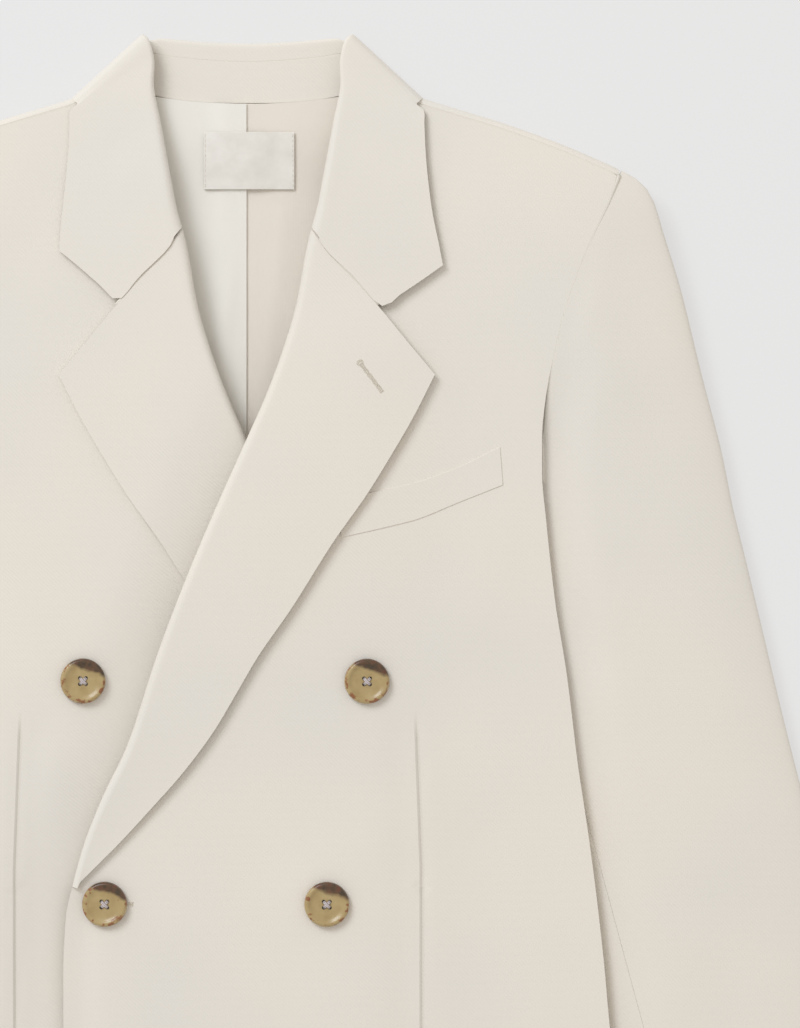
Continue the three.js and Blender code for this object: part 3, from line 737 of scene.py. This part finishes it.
# Sections across the collar: where its fold and its edge lie, the height of its layers, and how
# far down the stand the fall's inside and the stand's own foot reach
STATION_COLUMNS = ["fold_x", "fold_y", "edge_x", "edge_y", "stack", "turn_in", "stand"]
FRONT_STATIONS = Table(STATION_COLUMNS, [
    [roll_x(276), 276, 107.8, 259.6, 8.3, 0.2, 0],
    [roll_x(288), 288, 105.6, 271, 8.3, 0.8, 0],
    [roll_x(304), 304, 102.3, 287, 8.3, 3, 0],
    [roll_x(322), 322, 99.8, 305, 8.0, 5.5, 12.5],
    [roll_x(340), 340, 98.3, 322, 7.0, 6.5, 16.5],
    [roll_x(358), 358, 97.6, 337, 6.0, 7.5, 21],
    [roll_x(374), 374, 97.2, 345, 4.8, 7.5, 25],
])
CORNER = Table(STATION_COLUMNS, [[57.75, 388.4, 96.8, 352.3, 4.2, 7.5, 27]]).rows[0]
REAR_STATIONS = Table(STATION_COLUMNS, [
    [49, 385.8, 84, 343, 4.4, 7.5, 30],
    [40, 385.2, 62, 338, 4.8, 7.5, 33.4],
    [20, 383.7, 31, 336.5, 5.2, 7.5, 34],
    [0, 383, 0, 336, 5.2, 7.5, 33.2],
])
STAND_FROM = 3
# The other tip of the collar lies a little higher
NOTCH_RIGHT = Table(["x", "y"], [
    [39.5, 275.4], [43.6, 268], [58.9, 253.2], [70.5, 240.5], [80.5, 248.5], [92, 258.5],
    [103.1, 267.6],
])
RIGHT_EDGES = Table(["edge_x", "edge_y"], [[103.1, 267.6], [102.6, 277.5], [101.2, 291]])
NOTCH_LINES = {1: line(NOTCH), -1: line(NOTCH_RIGHT)}


def collar_stations(side):
    """One half of the collar, from the lapel's notch up to the corner and back to the middle."""
    rise = rise_of(side)
    open_top = OPEN_TOP[side]
    notch_line = NOTCH_LINES[side]

    def base(data):
        fold = np.array([data["fold_x"], data["fold_y"]], float)
        edge = np.array([data["edge_x"], data["edge_y"]], float)
        return fold, unit(edge - fold), np.linalg.norm(edge - fold)

    def front_station(k, data):
        fold, out, reach = base(data)
        stack = data["stack"]

        def place(d, depth, is_fall):
            p = fold + out * d
            share = clamp01((d - stack / 2) / (reach - stack / 2))
            drop = 0
            if is_fall:
                straight = mix(notch_line(0), notch_line(1), share)
                p = p + (notch_line(share) - straight) * (1 - clamp01(k / COLLAR_BEND_ROWS))
                drop = max(0, stack - open_top) * share ** 0.8
            slant = GORGE_SLANT * max(0, stack / 2 - d) * clamp01(1 - k / 3)
            return (p[0], p[1] + slant, rise(*p) + stack - drop - depth)
        return dict(data, reach=reach, place=place)

    def corner_station(turn):
        fold, out, reach = base(CORNER)
        lateral = np.array([-out[1], out[0]])

        def place(d, depth, _):
            swing = (COLLAR_ROUND - depth) * math.cos(turn) - COLLAR_ROUND
            p = fold + out * d + lateral * swing
            half = (rise(*p) + CORNER["stack"]) / 2
            return (p[0], p[1], half + (half - depth) * math.sin(turn))
        return dict(CORNER, reach=reach, place=place)

    def rear_station(data):
        fold, out, reach = base(data)

        def place(d, depth, _):
            p = fold + out * d
            return (p[0], p[1], depth)
        return dict(data, reach=reach, place=place)

    moved = RIGHT_EDGES.rows if side < 0 else []
    moved = moved + [{}] * (len(FRONT_STATIONS.rows) - len(moved))
    stations = [front_station(k, {**data, **edge})
                for k, (data, edge) in enumerate(zip(FRONT_STATIONS.rows, moved))]
    stations += [corner_station(math.radians(t)) for t in CORNER_TURNS]
    return stations + [rear_station(data) for data in REAR_STATIONS.rows]


def fall_row(station, outer):
    stack, reach, place = station["stack"], station["reach"], station["place"]
    half = stack / 2
    inner = (stack - COLLAR - STAND_CLOTH) / 2
    radius = half if outer else inner
    middle = half if outer else COLLAR + inner
    row = [place(mix(half, reach, f), middle - radius, True) for f in reversed(COLLAR_STEPS)]
    for angle in COLLAR_ARC[1:-1]:
        row.append(place(half - radius * math.sin(angle), middle - radius * math.cos(angle), True))
    for t in steps(3):
        row.append(place(half + station["turn_in"] * t, middle + radius, False))
    return row


def stand_row(station, lift):
    start = station["stack"] / 2 + station["turn_in"] + GAP
    end = max(station["stand"], start + 1)
    depth = station["stack"] - lift
    return [station["place"](mix(start, end, f), depth, False) for f in steps(8)]


def smoothed(rows, count):
    """Rows between the given ones, on smooth curves, and none of them below the surface."""
    g = np.array(rows, float)
    ends = np.concatenate([[2 * g[0] - g[1]], g, [2 * g[-1] - g[-2]]])
    fine = []
    for i in range(1, len(ends) - 2):
        before, here, after, later = ends[i - 1:i + 3]
        a = np.linalg.norm(here - before, axis=1, keepdims=True)
        b = np.linalg.norm(after - here, axis=1, keepdims=True)
        c = np.linalg.norm(later - after, axis=1, keepdims=True)
        leave = ((here - before) / a * b + (after - here)) / 2 if a.min() > 0 else after - here
        arrive = ((later - after) / c * b + (after - here)) / 2 if c.min() > 0 else after - here
        fine += [hermite(here, after, leave, arrive, t)
                 for t in np.linspace(0, 1, count, endpoint=False)]
    return [[(x, y, max(z, 0.0)) for x, y, z in row] for row in fine + [g[-1]]]


def both_halves(row_of, skip=0):
    left, right = (mirrored([row_of(s) for s in collar_stations(side)[skip:]], side)
                   for side in (1, -1))
    return smoothed(left + right[::-1][1:], BETWEEN)


def collar(material):
    """Makes the collar, and hands back the faces that the neck's fillers follow."""
    upper, lower = (both_halves(lambda s: stand_row(s, lift), STAND_FROM)
                    for lift in (STAND_CLOTH, 0))
    stand = cloth_piece("collar_stand", material, lower, upper, ["back_left"])
    outer, inner = (both_halves(lambda s: fall_row(s, face)) for face in (True, False))
    cloth_piece("collar_fall", material, outer, inner, [stand])
    return outer, upper


# Lining, label and welt
LINING_TOP = 346.5
LINING_LOW = 132
LINING_ROWS = [LINING_LOW + (LINING_TOP - LINING_LOW) * t for t in steps(40)][::-1]
LINING_MARGIN = 26
LINING_REACH = Table(["y", "x"], [[347, 50], [330, 64], [LINING_LOW, 40]])
LINING_STEPS = steps(26)
NECK_REACH = 2.9
NECK_CURVE = 3.4
PLEAT = 9
LINING_FOLDS = Table(FOLD_COLUMNS, [
    [-6, 262, -30, 150, 6, 0.5, 0.5],
    [20, 290, 8, 180, 5, 0.35, 0.3],
    [-24, 296, -14, 250, 5, -0.3, 0.5],
])


def lining_grid(side, lift):
    inner = -PLEAT if side > 0 else 0.5

    def point(y, f):
        reach = min(LINING_REACH.read("x", y), max(roll_x(y), 0) + LINING_MARGIN)
        x = mix(inner, reach, f)
        over = (LINING + GAP) * ramp(x, PLEAT + 14, PLEAT + 2) if side < 0 else 0
        z = back_rise(x, y) + CLOTH + 2 * GAP + over + lift
        wave = fold_field(side * x, y, LINING_FOLDS) * ramp(f, 0, 0.2) * ramp(y, 150, 170)
        up = (NECK_REACH + NECK_CURVE * (x / 47) ** 2) * ramp(y, 322, LINING_TOP)
        return (x, y + up, z + max(0, wave))
    return mirrored(grid_of(LINING_ROWS, LINING_STEPS, point), side)


LABEL_LOW = (-24.2, 302.2)
LABEL_HIGH = (25.9, 333.6)


def label_grid(lift):
    def point(v, u):
        x, y = mix(LABEL_LOW[0], LABEL_HIGH[0], u), mix(LABEL_LOW[1], LABEL_HIGH[1], v)
        pleat = (LINING + GAP) * ramp(x, 17, 2) * ramp(x, -PLEAT - 17, -PLEAT - 2)
        return (x, y, back_rise(x, y) + CLOTH + 4 * GAP + LINING + pleat + lift)
    return grid_of(steps(14), steps(30), point)


WELT_TOP = line(Table(["x", "y"], [
    [139.2, 159.8], [118, 149.4], [105, 144.4], [88, 139], [50, 131],
]))
WELT_BOTTOM = line(Table(["x", "y"], [
    [140.8, 138.9], [114.4, 128.4], [97.4, 121.3], [84, 117.4], [52, 110],
]))
WELT_SINK = 0.65


def welt_grid(lift):
    rise = worn(over_rise, 1)

    def point(u, v):
        x, y = mix(WELT_TOP(u), WELT_BOTTOM(u), v)
        return (x, y, rise(x, y) + CLOTH - WELT_SINK + lift)
    return grid_of(steps(40), steps(10), point)


def inner_parts(satin, cloth):
    linings = []
    for side in (1, -1):
        name = side_name(side)
        # The left half takes the darker tones: painted shade
        material = lining_material("cream_lining_" + name, *LINING_LIT_AND_SHADED_TONES[name])
        linings.append(cloth_piece("lining_" + name, material, lining_grid(side, 0),
                                   lining_grid(side, LINING), ["back_" + name] + linings,
                                   slot="lining"))
    cloth_piece("neck_label", satin, label_grid(0), label_grid(LABEL), linings, slot="label")
    cloth_piece("breast_welt", cloth, welt_grid(0), welt_grid(WELT), ["front_left"])


# Buttons: dished discs with a raised rim and four holes, sewn on with crossed threads
BUTTONS = [
    ("button_upper_right", -90.2, 31.1, -1), ("button_upper_left", 66, 31.1, 1),
    ("button_lower_right", -78.1, -91.6, 1), ("button_lower_left", 44, -91.6, 1),
]
PROFILE = [
    (1.0, 0.16), (1.0, 0.42), (0.985, 0.66), (0.955, 0.86), (0.91, 0.97), (0.87, 1.0),
    (0.83, 0.985), (0.79, 0.93), (0.75, 0.85), (0.70, 0.76), (0.62, 0.68), (0.50, 0.63),
]
UNDER_PROFILE = [(0.62, 0.0), (0.82, 0.03), (0.93, 0.08), (0.98, 0.13)]
HOLE_RADIUS = 1.1
HOLE_OFFSET = 2.3
ROUND = 96


def place_frame(x, y, side):
    """Where a button sits: a point just over the cloth, and the cloth's own tilt there."""
    rise_here = worn(rise_of(side), side)

    def rise(px, py):
        return rise_here(side * px, py)
    probe = 0.7 * BUTTON_RADIUS
    slope_x = (rise(x + probe, y) - rise(x - probe, y)) / (2 * probe)
    slope_y = (rise(x, y + probe) - rise(x, y - probe)) / (2 * probe)
    normal = unit(np.array([-slope_x, -slope_y, 1.0]))
    across = unit(np.cross([0, 1, 0], normal))
    along = np.cross(normal, across)
    origin = np.array([x, y, rise(x, y) + CLOTH + 2 * GAP])
    return origin, across, along, normal


def turns(count):
    return [2 * math.pi * k / count for k in range(count)]


def skin(rings):
    """A closed form through rings of as many points each, with one face at either end."""
    count = len(rings[0])
    points = [p for ring in rings for p in ring]
    last = len(points) - count
    faces = []
    for start in range(0, last, count):
        for k in range(count):
            a, b = start + k, start + (k + 1) % count
            faces.append((a, b, b + count, a + count))
    faces.append(tuple(reversed(range(count))))
    faces.append(tuple(range(last, last + count)))
    return points, faces


def lathe():
    """The disc of a button about its own z axis."""
    return skin([[(BUTTON_RADIUS * share * math.cos(a), BUTTON_RADIUS * share * math.sin(a),
                   BUTTON_THICKNESS * height) for a in turns(ROUND)]
                 for share, height in UNDER_PROFILE + PROFILE])


def tube(path, radius, sides=8):
    """A round tube along a path of points."""
    path = [np.array(p, float) for p in path]
    rings = []
    for i, here in enumerate(path):
        along = unit(path[min(i + 1, len(path) - 1)] - path[max(i - 1, 0)])
        guide = np.array([0, 0, 1.0]) if abs(along[2]) < 0.9 else np.array([1.0, 0, 0])
        u = unit(np.cross(guide, along))
        v = np.cross(along, u)
        rings.append([here + radius * (math.cos(a) * u + math.sin(a) * v) for a in turns(sides)])
    return skin(rings)


def joined(parts):
    points, faces = [], []
    for part_points, part_faces in parts:
        start = len(points)
        points += [tuple(p) for p in part_points]
        faces += [tuple(start + k for k in face) for face in part_faces]
    return points, faces


STRANDS = 4
STRAND_RADIUS = 0.24
STRAND_PITCH = 0.4
THREAD_SINK = 1.4
THREAD_ARCH = 0.45


def thread_cross():
    """Two bundles of thread that cross between opposite holes."""
    floor = PROFILE[-1][1] * BUTTON_THICKNESS
    strands = []
    for bundle in range(2):
        angle = math.pi / 4 + bundle * math.pi / 2
        along = np.array([math.cos(angle), math.sin(angle), 0])
        side = np.array([-along[1], along[0], 0])
        for k in range(STRANDS):
            shift = (k - (STRANDS - 1) / 2) * STRAND_PITCH
            path = [-HOLE_OFFSET * along + side * shift * 0.5 + (0, 0, floor - THREAD_SINK)]
            for t in steps(10):
                d = mix(-1, 1, t)
                lift = STRAND_RADIUS + (THREAD_ARCH * (1 + bundle)) * (1 - d ** 4)
                path.append(along * d * HOLE_OFFSET + side * shift + (0, 0, floor + lift))
            path.append(HOLE_OFFSET * along + side * shift * 0.5 + (0, 0, floor - THREAD_SINK))
            strands.append(tube(path, STRAND_RADIUS))
    return joined(strands)


def button(node, x, y, side, horn, thread):
    origin, across, along, normal = place_frame(x, y, side)
    disc = make_mesh(node + "_horn", *lathe())
    cutters = []
    for k in range(4):
        angle = math.pi / 4 + k * math.pi / 2
        spot = np.array([math.cos(angle), math.sin(angle), 0]) * HOLE_OFFSET
        cutters.append(tube([spot - (0, 0, 2), spot + (0, 0, 6)], HOLE_RADIUS, 24))
    cutter = make_mesh("cutter", *joined(cutters))
    holes = disc.modifiers.new("holes", "BOOLEAN")
    holes.operation = "DIFFERENCE"
    holes.object = cutter
    graph = bpy.context.evaluated_depsgraph_get()
    disc.data = bpy.data.meshes.new_from_object(disc.evaluated_get(graph))
    disc.modifiers.clear()
    bpy.data.objects.remove(cutter)
    for polygon in disc.data.polygons:
        polygon.use_smooth = True
    disc.data.set_sharp_from_angle(angle=math.radians(40))
    sewing = make_mesh(node + "_thread", *thread_cross())
    turn = Matrix([across, along, normal]).transposed().to_4x4()
    turn.translation = Vector(origin) * MM
    for piece, material in ((disc, horn), (sewing, thread)):
        piece.matrix_world = turn
        piece.data.materials.clear()
        piece.data.materials.append(material)
        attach(piece, "root")
    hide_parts(node)


# Hand stitching
STITCH_RADIUS = 0.17
STITCH_LIFT = 0.28


def height_on(grid):
    """The height of a grid's surface at any place, from its nearest points."""
    g = np.array(grid, float).reshape(-1, 3)

    def height(x, y):
        away = np.hypot(g[:, 0] - x, g[:, 1] - y)
        near = np.argsort(away)[:4]
        weight = 1 / (away[near] + 0.05)
        return float((g[near, 2] * weight).sum() / weight.sum())
    return height


def stitch(a, b, height, lift):
    """One thread from a to b, lifted in its middle."""
    path = []
    for t in steps(6):
        x, y = mix(a[0], b[0], t), mix(a[1], b[1], t)
        path.append((x, y, height(x, y) + lift * math.sin(math.pi * t) + 0.02))
    return tube(path, STITCH_RADIUS, 6)


def small_piece(name, parts, material):
    """A visible piece made of closed parts, that stands for no solid."""
    piece = make_mesh(name, *joined(parts))
    piece.data.materials.append(material)
    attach(piece, "root")


BUTTONHOLE_PITCH = 0.62
BUTTONHOLE_REACH = 1.05
BUTTONHOLE_SLIT = 0.12
KEYHOLE_RADIUS = 1.0


def buttonhole(start, end, height):
    """A worked buttonhole: stitches across both sides of a slit, and round the eye at its start."""
    start, end = np.array(start, float), np.array(end, float)
    along = unit(end - start)
    side = np.array([-along[1], along[0]])
    count = int(np.linalg.norm(end - start) / BUTTONHOLE_PITCH)
    stitches = []
    for k in range(count + 1):
        here = mix(start, end, k / count)
        for way in (-1, 1):
            near = here + side * way * BUTTONHOLE_SLIT
            far = here + side * way * (BUTTONHOLE_REACH + 0.12 * math.sin(7.3 * k))
            stitches.append(stitch(near, far, height, STITCH_LIFT))
    eye = start - along * KEYHOLE_RADIUS * 0.6
    for t in steps(14):
        angle = mix(-0.72, 0.72, t) * math.pi
        ray = -along * math.cos(angle) + side * math.sin(angle)
        near, far = eye + ray * KEYHOLE_RADIUS * 0.55, eye + ray * (KEYHOLE_RADIUS + 0.9)
        stitches.append(stitch(near, far, height, STITCH_LIFT))
    for t in steps(4):
        across = side * mix(-1, 1, t) * BUTTONHOLE_REACH
        near, far = end + across - along * 0.3, end + across + along * 0.9
        stitches.append(stitch(near, far, height, 0.25))
    return stitches


LAPEL_HOLE = ((62.6, 205.4), (74.0, 190.4))
FRONT_HOLE = ((-88, -91.6), (-63.4, -91.6))


def stitching(facings, silk):
    lapel = height_on(facings["left"])
    small_piece("lapel_buttonhole", buttonhole(*LAPEL_HOLE, lapel), silk)
    rise = worn(over_rise, 1)
    hole = buttonhole(*FRONT_HOLE, lambda x, y: rise(x, y) + CLOTH)
    small_piece("fastening_buttonhole", hole, silk)
    label = height_on(label_grid(LABEL))
    ends = []
    for x in (LABEL_LOW[0] + 0.9, LABEL_HIGH[0] - 0.9):
        for k in range(11):
            y = mix(LABEL_LOW[1] + 1.5, LABEL_HIGH[1] - 2.6, k / 10)
            ends.append(stitch((x, y), (x, y + 1.5), label, 0.1))
    small_piece("label_stitches", ends, silk)


# The panels stand a little apart, as their solids do. A real seam has no such gap, so a thin
# cord of the same cloth fills the bottom of each: its radius, and how far its middle is sunk
# under the cloth's face.
FILLERS = {
    "shoulder_filler": (0.9, 1.05), "shoulder_point": (1.5, 0.0), "armhole_filler": (1.15, 1.15),
    "gorge_filler": (0.75, 1.0), "collar_filler": (0.62, 0.72), "neck_filler": (1.5, 1.0),
}
SHOULDER_POINT = (203.7, 309.1)
POINT_FOOT = 0.8
POINT_SUNK = 0.45
ARMHOLE_ENDS = (309.2, 140)
GORGE_ENDS = (38, 73)


def seams(facings, fall, stand, material):
    def fill(kind, path, end=""):
        radius, sunk = FILLERS[kind]
        path = [(x, y, z - sunk) for x, y, z in path]
        small_piece(kind + end, [tube(path, radius, 12)], material)

    for side in (1, -1):
        end = "_" + side_name(side)
        rise = worn(rise_of(side), side)

        def face(x, y, aside=0):
            return (side * (x + aside), y, rise(x, y) + CLOTH)
        shoulder = []
        for t in steps(40):
            here, out = shoulder_at(mix(0.005, 1, t))
            shoulder.append(face(*(here - out * (SHOULDER_ROUND + GAP))))
        fill("shoulder_filler", shoulder, end)
        x, y, z = face(*SHOULDER_POINT)
        top = z - POINT_SUNK
        fill("shoulder_point", [(x, y, height) for height in (POINT_FOOT, top / 2, top)], end)
        armhole = []
        for t in steps(60):
            x, y, z = face(half_width(mix(*ARMHOLE_ENDS, t)), mix(*ARMHOLE_ENDS, t), GAP)
            armhole.append((x, y, z - 5 * ramp(y, 208, 165)))
        fill("armhole_filler", armhole, end)
        gorge = facings[side_name(side)][0][-len(LAPEL_STEPS):]
        fill("gorge_filler", [(x + 0.3 * side, y + 0.3, z) for x, y, z in gorge
                              if GORGE_ENDS[0] < abs(x) < GORGE_ENDS[1]], end)
    edge = [row[-1] for row in fall]
    fill("collar_filler", [(x, y - 0.2, z) for x, y, z in edge if abs(x) < 52 and y > 362])
    edge = [row[-1] for row in stand]
    fill("neck_filler", [(x, y, z) for x, y, z in edge if abs(x) < 50 and y > 345])


# Materials
def srgb(r, g, b):
    def one(c):
        c /= 255
        return c / 12.92 if c <= 0.04045 else ((c + 0.055) / 1.055) ** 2.4
    return (one(r), one(g), one(b), 1)


class Nodes:
    """A short way to write a node material."""

    def __init__(self, name):
        self.material = bpy.data.materials.new(name)
        self.material.use_nodes = True
        self.tree = self.material.node_tree
        self.shader = self.tree.nodes["Principled BSDF"]
        self.coords = self.add("ShaderNodeTexCoord").outputs["Object"]

    def put(self, socket, value):
        if isinstance(value, bpy.types.NodeSocket):
            self.tree.links.new(value, socket)
        else:
            socket.default_value = value

    def add(self, kind, inputs=None, **settings):
        node = self.tree.nodes.new(kind)
        for key, value in settings.items():
            setattr(node, key, value)
        for key, value in (inputs or {}).items():
            self.put(node.inputs[key], value)
        return node

    def math(self, operation, a, b=0.0, c=0.0):
        return self.add("ShaderNodeMath", {0: a, 1: b, 2: c}, operation=operation).outputs[0]

    def noise(self, scale, detail=2.0, roughness=0.5, **more):
        inputs = {"Vector": self.coords, "Scale": scale, "Detail": detail, "Roughness": roughness}
        settings = {"noise_dimensions": "4D"} if more else {}
        return self.add("ShaderNodeTexNoise", {**inputs, **more}, **settings).outputs["Fac"]

    def bands(self, millimetres, direction, distortion):
        """Stripes of the given pitch: at scale 1 the node's wave turns 20 radians a metre."""
        scale = 2 * math.pi / 20 / (millimetres * MM)
        return self.add("ShaderNodeTexWave", {
            "Vector": self.coords, "Scale": scale, "Distortion": distortion, "Detail": 2.0,
            "Detail Scale": 1.5}, bands_direction=direction).outputs["Fac"]

    def spread(self, value, low=0.0, high=1.0, start=0.0, end=1.0):
        """Low where the value is at start, and high where it is at end."""
        return self.add("ShaderNodeMapRange", {
            "Value": value, "From Min": start, "From Max": end, "To Min": low,
            "To Max": high}).outputs["Result"]

    def between(self, value, low, high, start=0.3, end=0.7):
        """Colour low up to start, and high from end on."""
        node = self.add("ShaderNodeValToRGB", {"Fac": value})
        for element, place, colour in zip(node.color_ramp.elements, (start, end), (low, high)):
            element.position = place
            element.color = srgb(*colour)
        return node.outputs["Color"]

    def tint(self, factor, colour, other):
        """The colour, with another laid over it by a factor."""
        inputs = {0: factor, 6: colour, 7: srgb(*other) if isinstance(other, tuple) else other}
        return self.add("ShaderNodeMix", inputs, data_type="RGBA").outputs[2]

    def bumps(self, *rows):
        """Relief from rows of height, distance and strength, one laid over the other."""
        normal = None
        for height, distance, strength in rows:
            inputs = {"Height": height, "Distance": distance, "Strength": strength}
            if normal:
                inputs["Normal"] = normal
            normal = self.add("ShaderNodeBump", inputs).outputs["Normal"]
        return normal

    def finish(self, colour, roughness, normal, **fixed):
        fixed = {key.replace("_", " "): value for key, value in fixed.items()}
        sockets = {"Base Color": colour, "Roughness": roughness, "Normal": normal, **fixed}
        for key, value in sockets.items():
            self.put(self.shader.inputs[key], value)
        return self.material


def dart_groove(n, side):
    """One on the pressed dart of a front, from the button height down, else nought. It drives the
    dart's bump and the painted shade along it.
    """
    place = n.add("ShaderNodeSeparateXYZ", {0: n.coords}).outputs
    (x, y), shift = DART_START, DART_SHIFT[side] * MM
    slant = n.math("MULTIPLY_ADD", place["Y"], -DART_SLANT, (x + DART_SLANT * y) * MM + shift)
    centre = n.math("MINIMUM", slant, DART_STRAIGHT * MM + shift)
    away = n.math("ABSOLUTE", n.math("SUBTRACT", n.math("MULTIPLY", place["X"], side), centre))
    near = n.spread(away, 1.0, 0.0, 0.0, DART_HALF * MM)
    return n.math("MULTIPLY", near, n.spread(place["Y"], start=y * MM, end=(y - 14) * MM))


def cloth_material(name, dart_side=None):
    """Ivory wool twill: fine slanting ribs, loose fibres, and a soft bloom of colour; on a darted
    front, painted shade along the dart.
    """
    n = Nodes(name)
    ribs = n.bands(1.1, "DIAGONAL", 0.6)
    fibres = n.noise(1400, 3, 0.65)
    colour = n.between(n.noise(7, 3), IVORY_LOW, IVORY_HIGH)
    colour = n.tint(n.spread(ribs, 0.04, 0.0), colour, (196, 186, 168))
    colour = n.tint(n.spread(n.noise(160, 3, 0.6), 0.0, 0.12), colour, (240, 236, 226))
    colour = n.tint(n.spread(fibres, 0.10, 0.0), colour, (190, 180, 160))
    relief = [(ribs, 0.00012, 0.24), (n.bands(0.62, "Y", 0.8), 0.00008, 0.4),
              (fibres, 0.00012, 0.5), (n.noise(34, 3), 0.0007, 0.30)]
    if dart_side:
        groove_and_shade = dart_groove(n, dart_side)
        # Painted shade: the dart's line is darkened, as if in the shadow of its pressed hollow
        colour = n.tint(n.spread(groove_and_shade, 0.0, 0.25), colour, (196, 184, 162))
        relief.append((n.math("MULTIPLY", groove_and_shade, -1.0), 0.0009, 0.8))
    return n.finish(colour, n.spread(fibres, 0.78, 0.95), n.bumps(*relief),
                    Sheen_Weight=0.12, Sheen_Roughness=0.45, Specular_IOR_Level=0.25)


def lining_material(name, low, high):
    """Cream lining: very fine cross ribs with a soft satin light, and slight puckers."""
    n = Nodes(name)
    weave = n.bands(0.5, "Y", 0.3)
    puckers = n.noise(45, 3)
    colour = n.between(n.noise(12), low, high)
    colour = n.tint(n.spread(weave, 0.08, 0.0), colour, (200, 188, 170))
    normal = n.bumps((weave, 0.00006, 0.5), (n.bands(0.9, "X", 0.5), 0.00005, 0.3),
                     (puckers, 0.0009, 0.35))
    return n.finish(colour, n.spread(puckers, 0.38, 0.56), normal,
                    Sheen_Weight=0.05, Specular_IOR_Level=0.4)


def satin_material():
    """Woven label satin: dense floats along the label, grey white."""
    n = Nodes("label_satin")
    floats = n.bands(0.45, "Y", 0.6)
    colour = n.between(n.noise(120), (236, 232, 224), (246, 243, 236))
    colour = n.tint(n.spread(floats, 0.12, 0.0), colour, (188, 186, 182))
    return n.finish(colour, n.spread(n.noise(300), 0.3, 0.45), n.bumps((floats, 0.00007, 0.6)),
                    Specular_IOR_Level=0.5)


def horn_material():
    """Polished horn: honey tan with streaks, brown spots at the rim, and a dark crescent."""
    n = Nodes("tan_horn")
    radius = n.add("ShaderNodeVectorMath", {0: n.coords}, operation="LENGTH").outputs["Value"]
    share = n.math("DIVIDE", radius, BUTTON_RADIUS * MM)
    seed = n.math("MULTIPLY", n.add("ShaderNodeObjectInfo").outputs["Random"], 40.0)
    streaks = n.noise(180, 4.0, W=seed)
    patches = n.noise(330, W=seed)
    place = n.add("ShaderNodeSeparateXYZ", {0: n.coords}).outputs
    lean = n.math("ADD", n.math("MULTIPLY", place["X"], CRESCENT[0]),
                  n.math("MULTIPLY", place["Y"], CRESCENT[1]))
    reach = n.math("ADD", n.math("DIVIDE", lean, BUTTON_RADIUS * MM),
                   n.math("MULTIPLY", n.math("SUBTRACT", streaks, 0.5), 0.5))
    crescent = n.spread(reach, start=0.44, end=0.60)
    rim = n.spread(share, -0.2, 0.05, 0.62, 0.95)
    spots = n.spread(n.math("ADD", patches, rim), start=0.56, end=0.64)
    colour = n.between(streaks, (170, 146, 98), (188, 166, 118))
    colour = n.tint(n.math("MULTIPLY", spots, 0.85), colour, (140, 78, 42))
    # The crescent: painted darker on the same side, towards the upper right, of every button alike
    crescent_tones = n.between(patches, (44, 27, 20), (98, 60, 40), 0.35, 0.65)
    colour = n.tint(n.math("MULTIPLY", crescent, 0.9), colour, crescent_tones)
    return n.finish(colour, n.spread(patches, 0.22, 0.42), n.bumps((streaks, 0.0002, 0.15)),
                    Specular_IOR_Level=0.5, Coat_Weight=0.25, Coat_Roughness=0.15)


def thread_material(name, low, high):
    """Twisted thread: fine turns along each strand."""
    n = Nodes(name)
    twist = n.bands(0.55, "DIAGONAL", 1.0)
    colour = n.between(twist, low, high, 0.2, 0.8)
    return n.finish(colour, n.spread(n.noise(900), 0.5, 0.75), n.bumps((twist, 0.0001, 0.6)),
                    Sheen_Weight=0.2)


def floor_material():
    """Plain matt paper: almost one colour, with the faintest grain, and a painted glow that lifts
    it and washes out the shadows cast on it.
    """
    n = Nodes("studio_paper")
    grain = n.noise(500)
    colour = n.between(grain, (FLOOR_SHADE - 0.5,) * 3, (FLOOR_SHADE + 0.5,) * 3)
    return n.finish(colour, n.spread(grain, 0.93, 0.97), n.bumps((grain, 0.00002, 0.1)),
                    Specular_IOR_Level=0.0, Emission_Color=(1, 1, 1, 1),
                    Emission_Strength=FLOOR_GLOW)


# Stage
def camera():
    lens = bpy.data.cameras.new("camera")
    lens.lens = CAMERA_LENS
    lens.sensor_width = CAMERA_SENSOR
    lens.clip_end = 20
    eye = put_in_scene("camera", lens)
    eye.location = CAMERA_SPOT
    bpy.context.scene.camera = eye


def light():
    world = bpy.data.worlds.new("studio")
    world.use_nodes = True
    sky = world.node_tree.nodes["Background"]
    sky.inputs["Color"].default_value = SKY_COLOUR
    sky.inputs["Strength"].default_value = WORLD_STRENGTH
    bpy.context.scene.world = world
    data = bpy.data.lights.new("key", "AREA")
    data.energy = KEY_WATTS
    data.size = KEY_SIZE
    data.color = KEY_COLOUR
    key = put_in_scene("key", data)
    key.location = KEY_SPOT
    aim = Vector(KEY_AIM) - Vector(KEY_SPOT)
    key.rotation_euler = aim.to_track_quat("-Z", "Y").to_euler()


def floor():
    corners = ((-1, -1), (1, -1), (1, 1), (-1, 1))
    points = [(x * FLOOR_HALF, y * FLOOR_HALF, FLOOR_LEVEL) for x, y in corners]
    sheet = make_mesh("studio_floor", points, [(0, 1, 2, 3)])
    sheet.data.materials.append(floor_material())


def main():
    scene = bpy.context.scene
    scene.view_settings.view_transform = "Standard"
    scene.view_settings.look = "None"
    camera()
    light()
    floor()
    cloth = cloth_material("ivory_twill")
    silk = thread_material("ivory_silk", (222, 213, 196), (240, 234, 221))
    grey = thread_material("lilac_thread", (176, 164, 166), (222, 214, 214))
    darted = {side: cloth_material("ivory_twill_" + side_name(side), side) for side in (1, -1)}
    facings = fronts(darted, cloth)
    body_and_sleeves(cloth)
    seams(facings, *collar(cloth), cloth)
    inner_parts(satin_material(), cloth)
    horn = horn_material()
    for name, x, y, side in BUTTONS:
        button(name, x, y, side, horn, grey)
    stitching(facings, silk)


main()
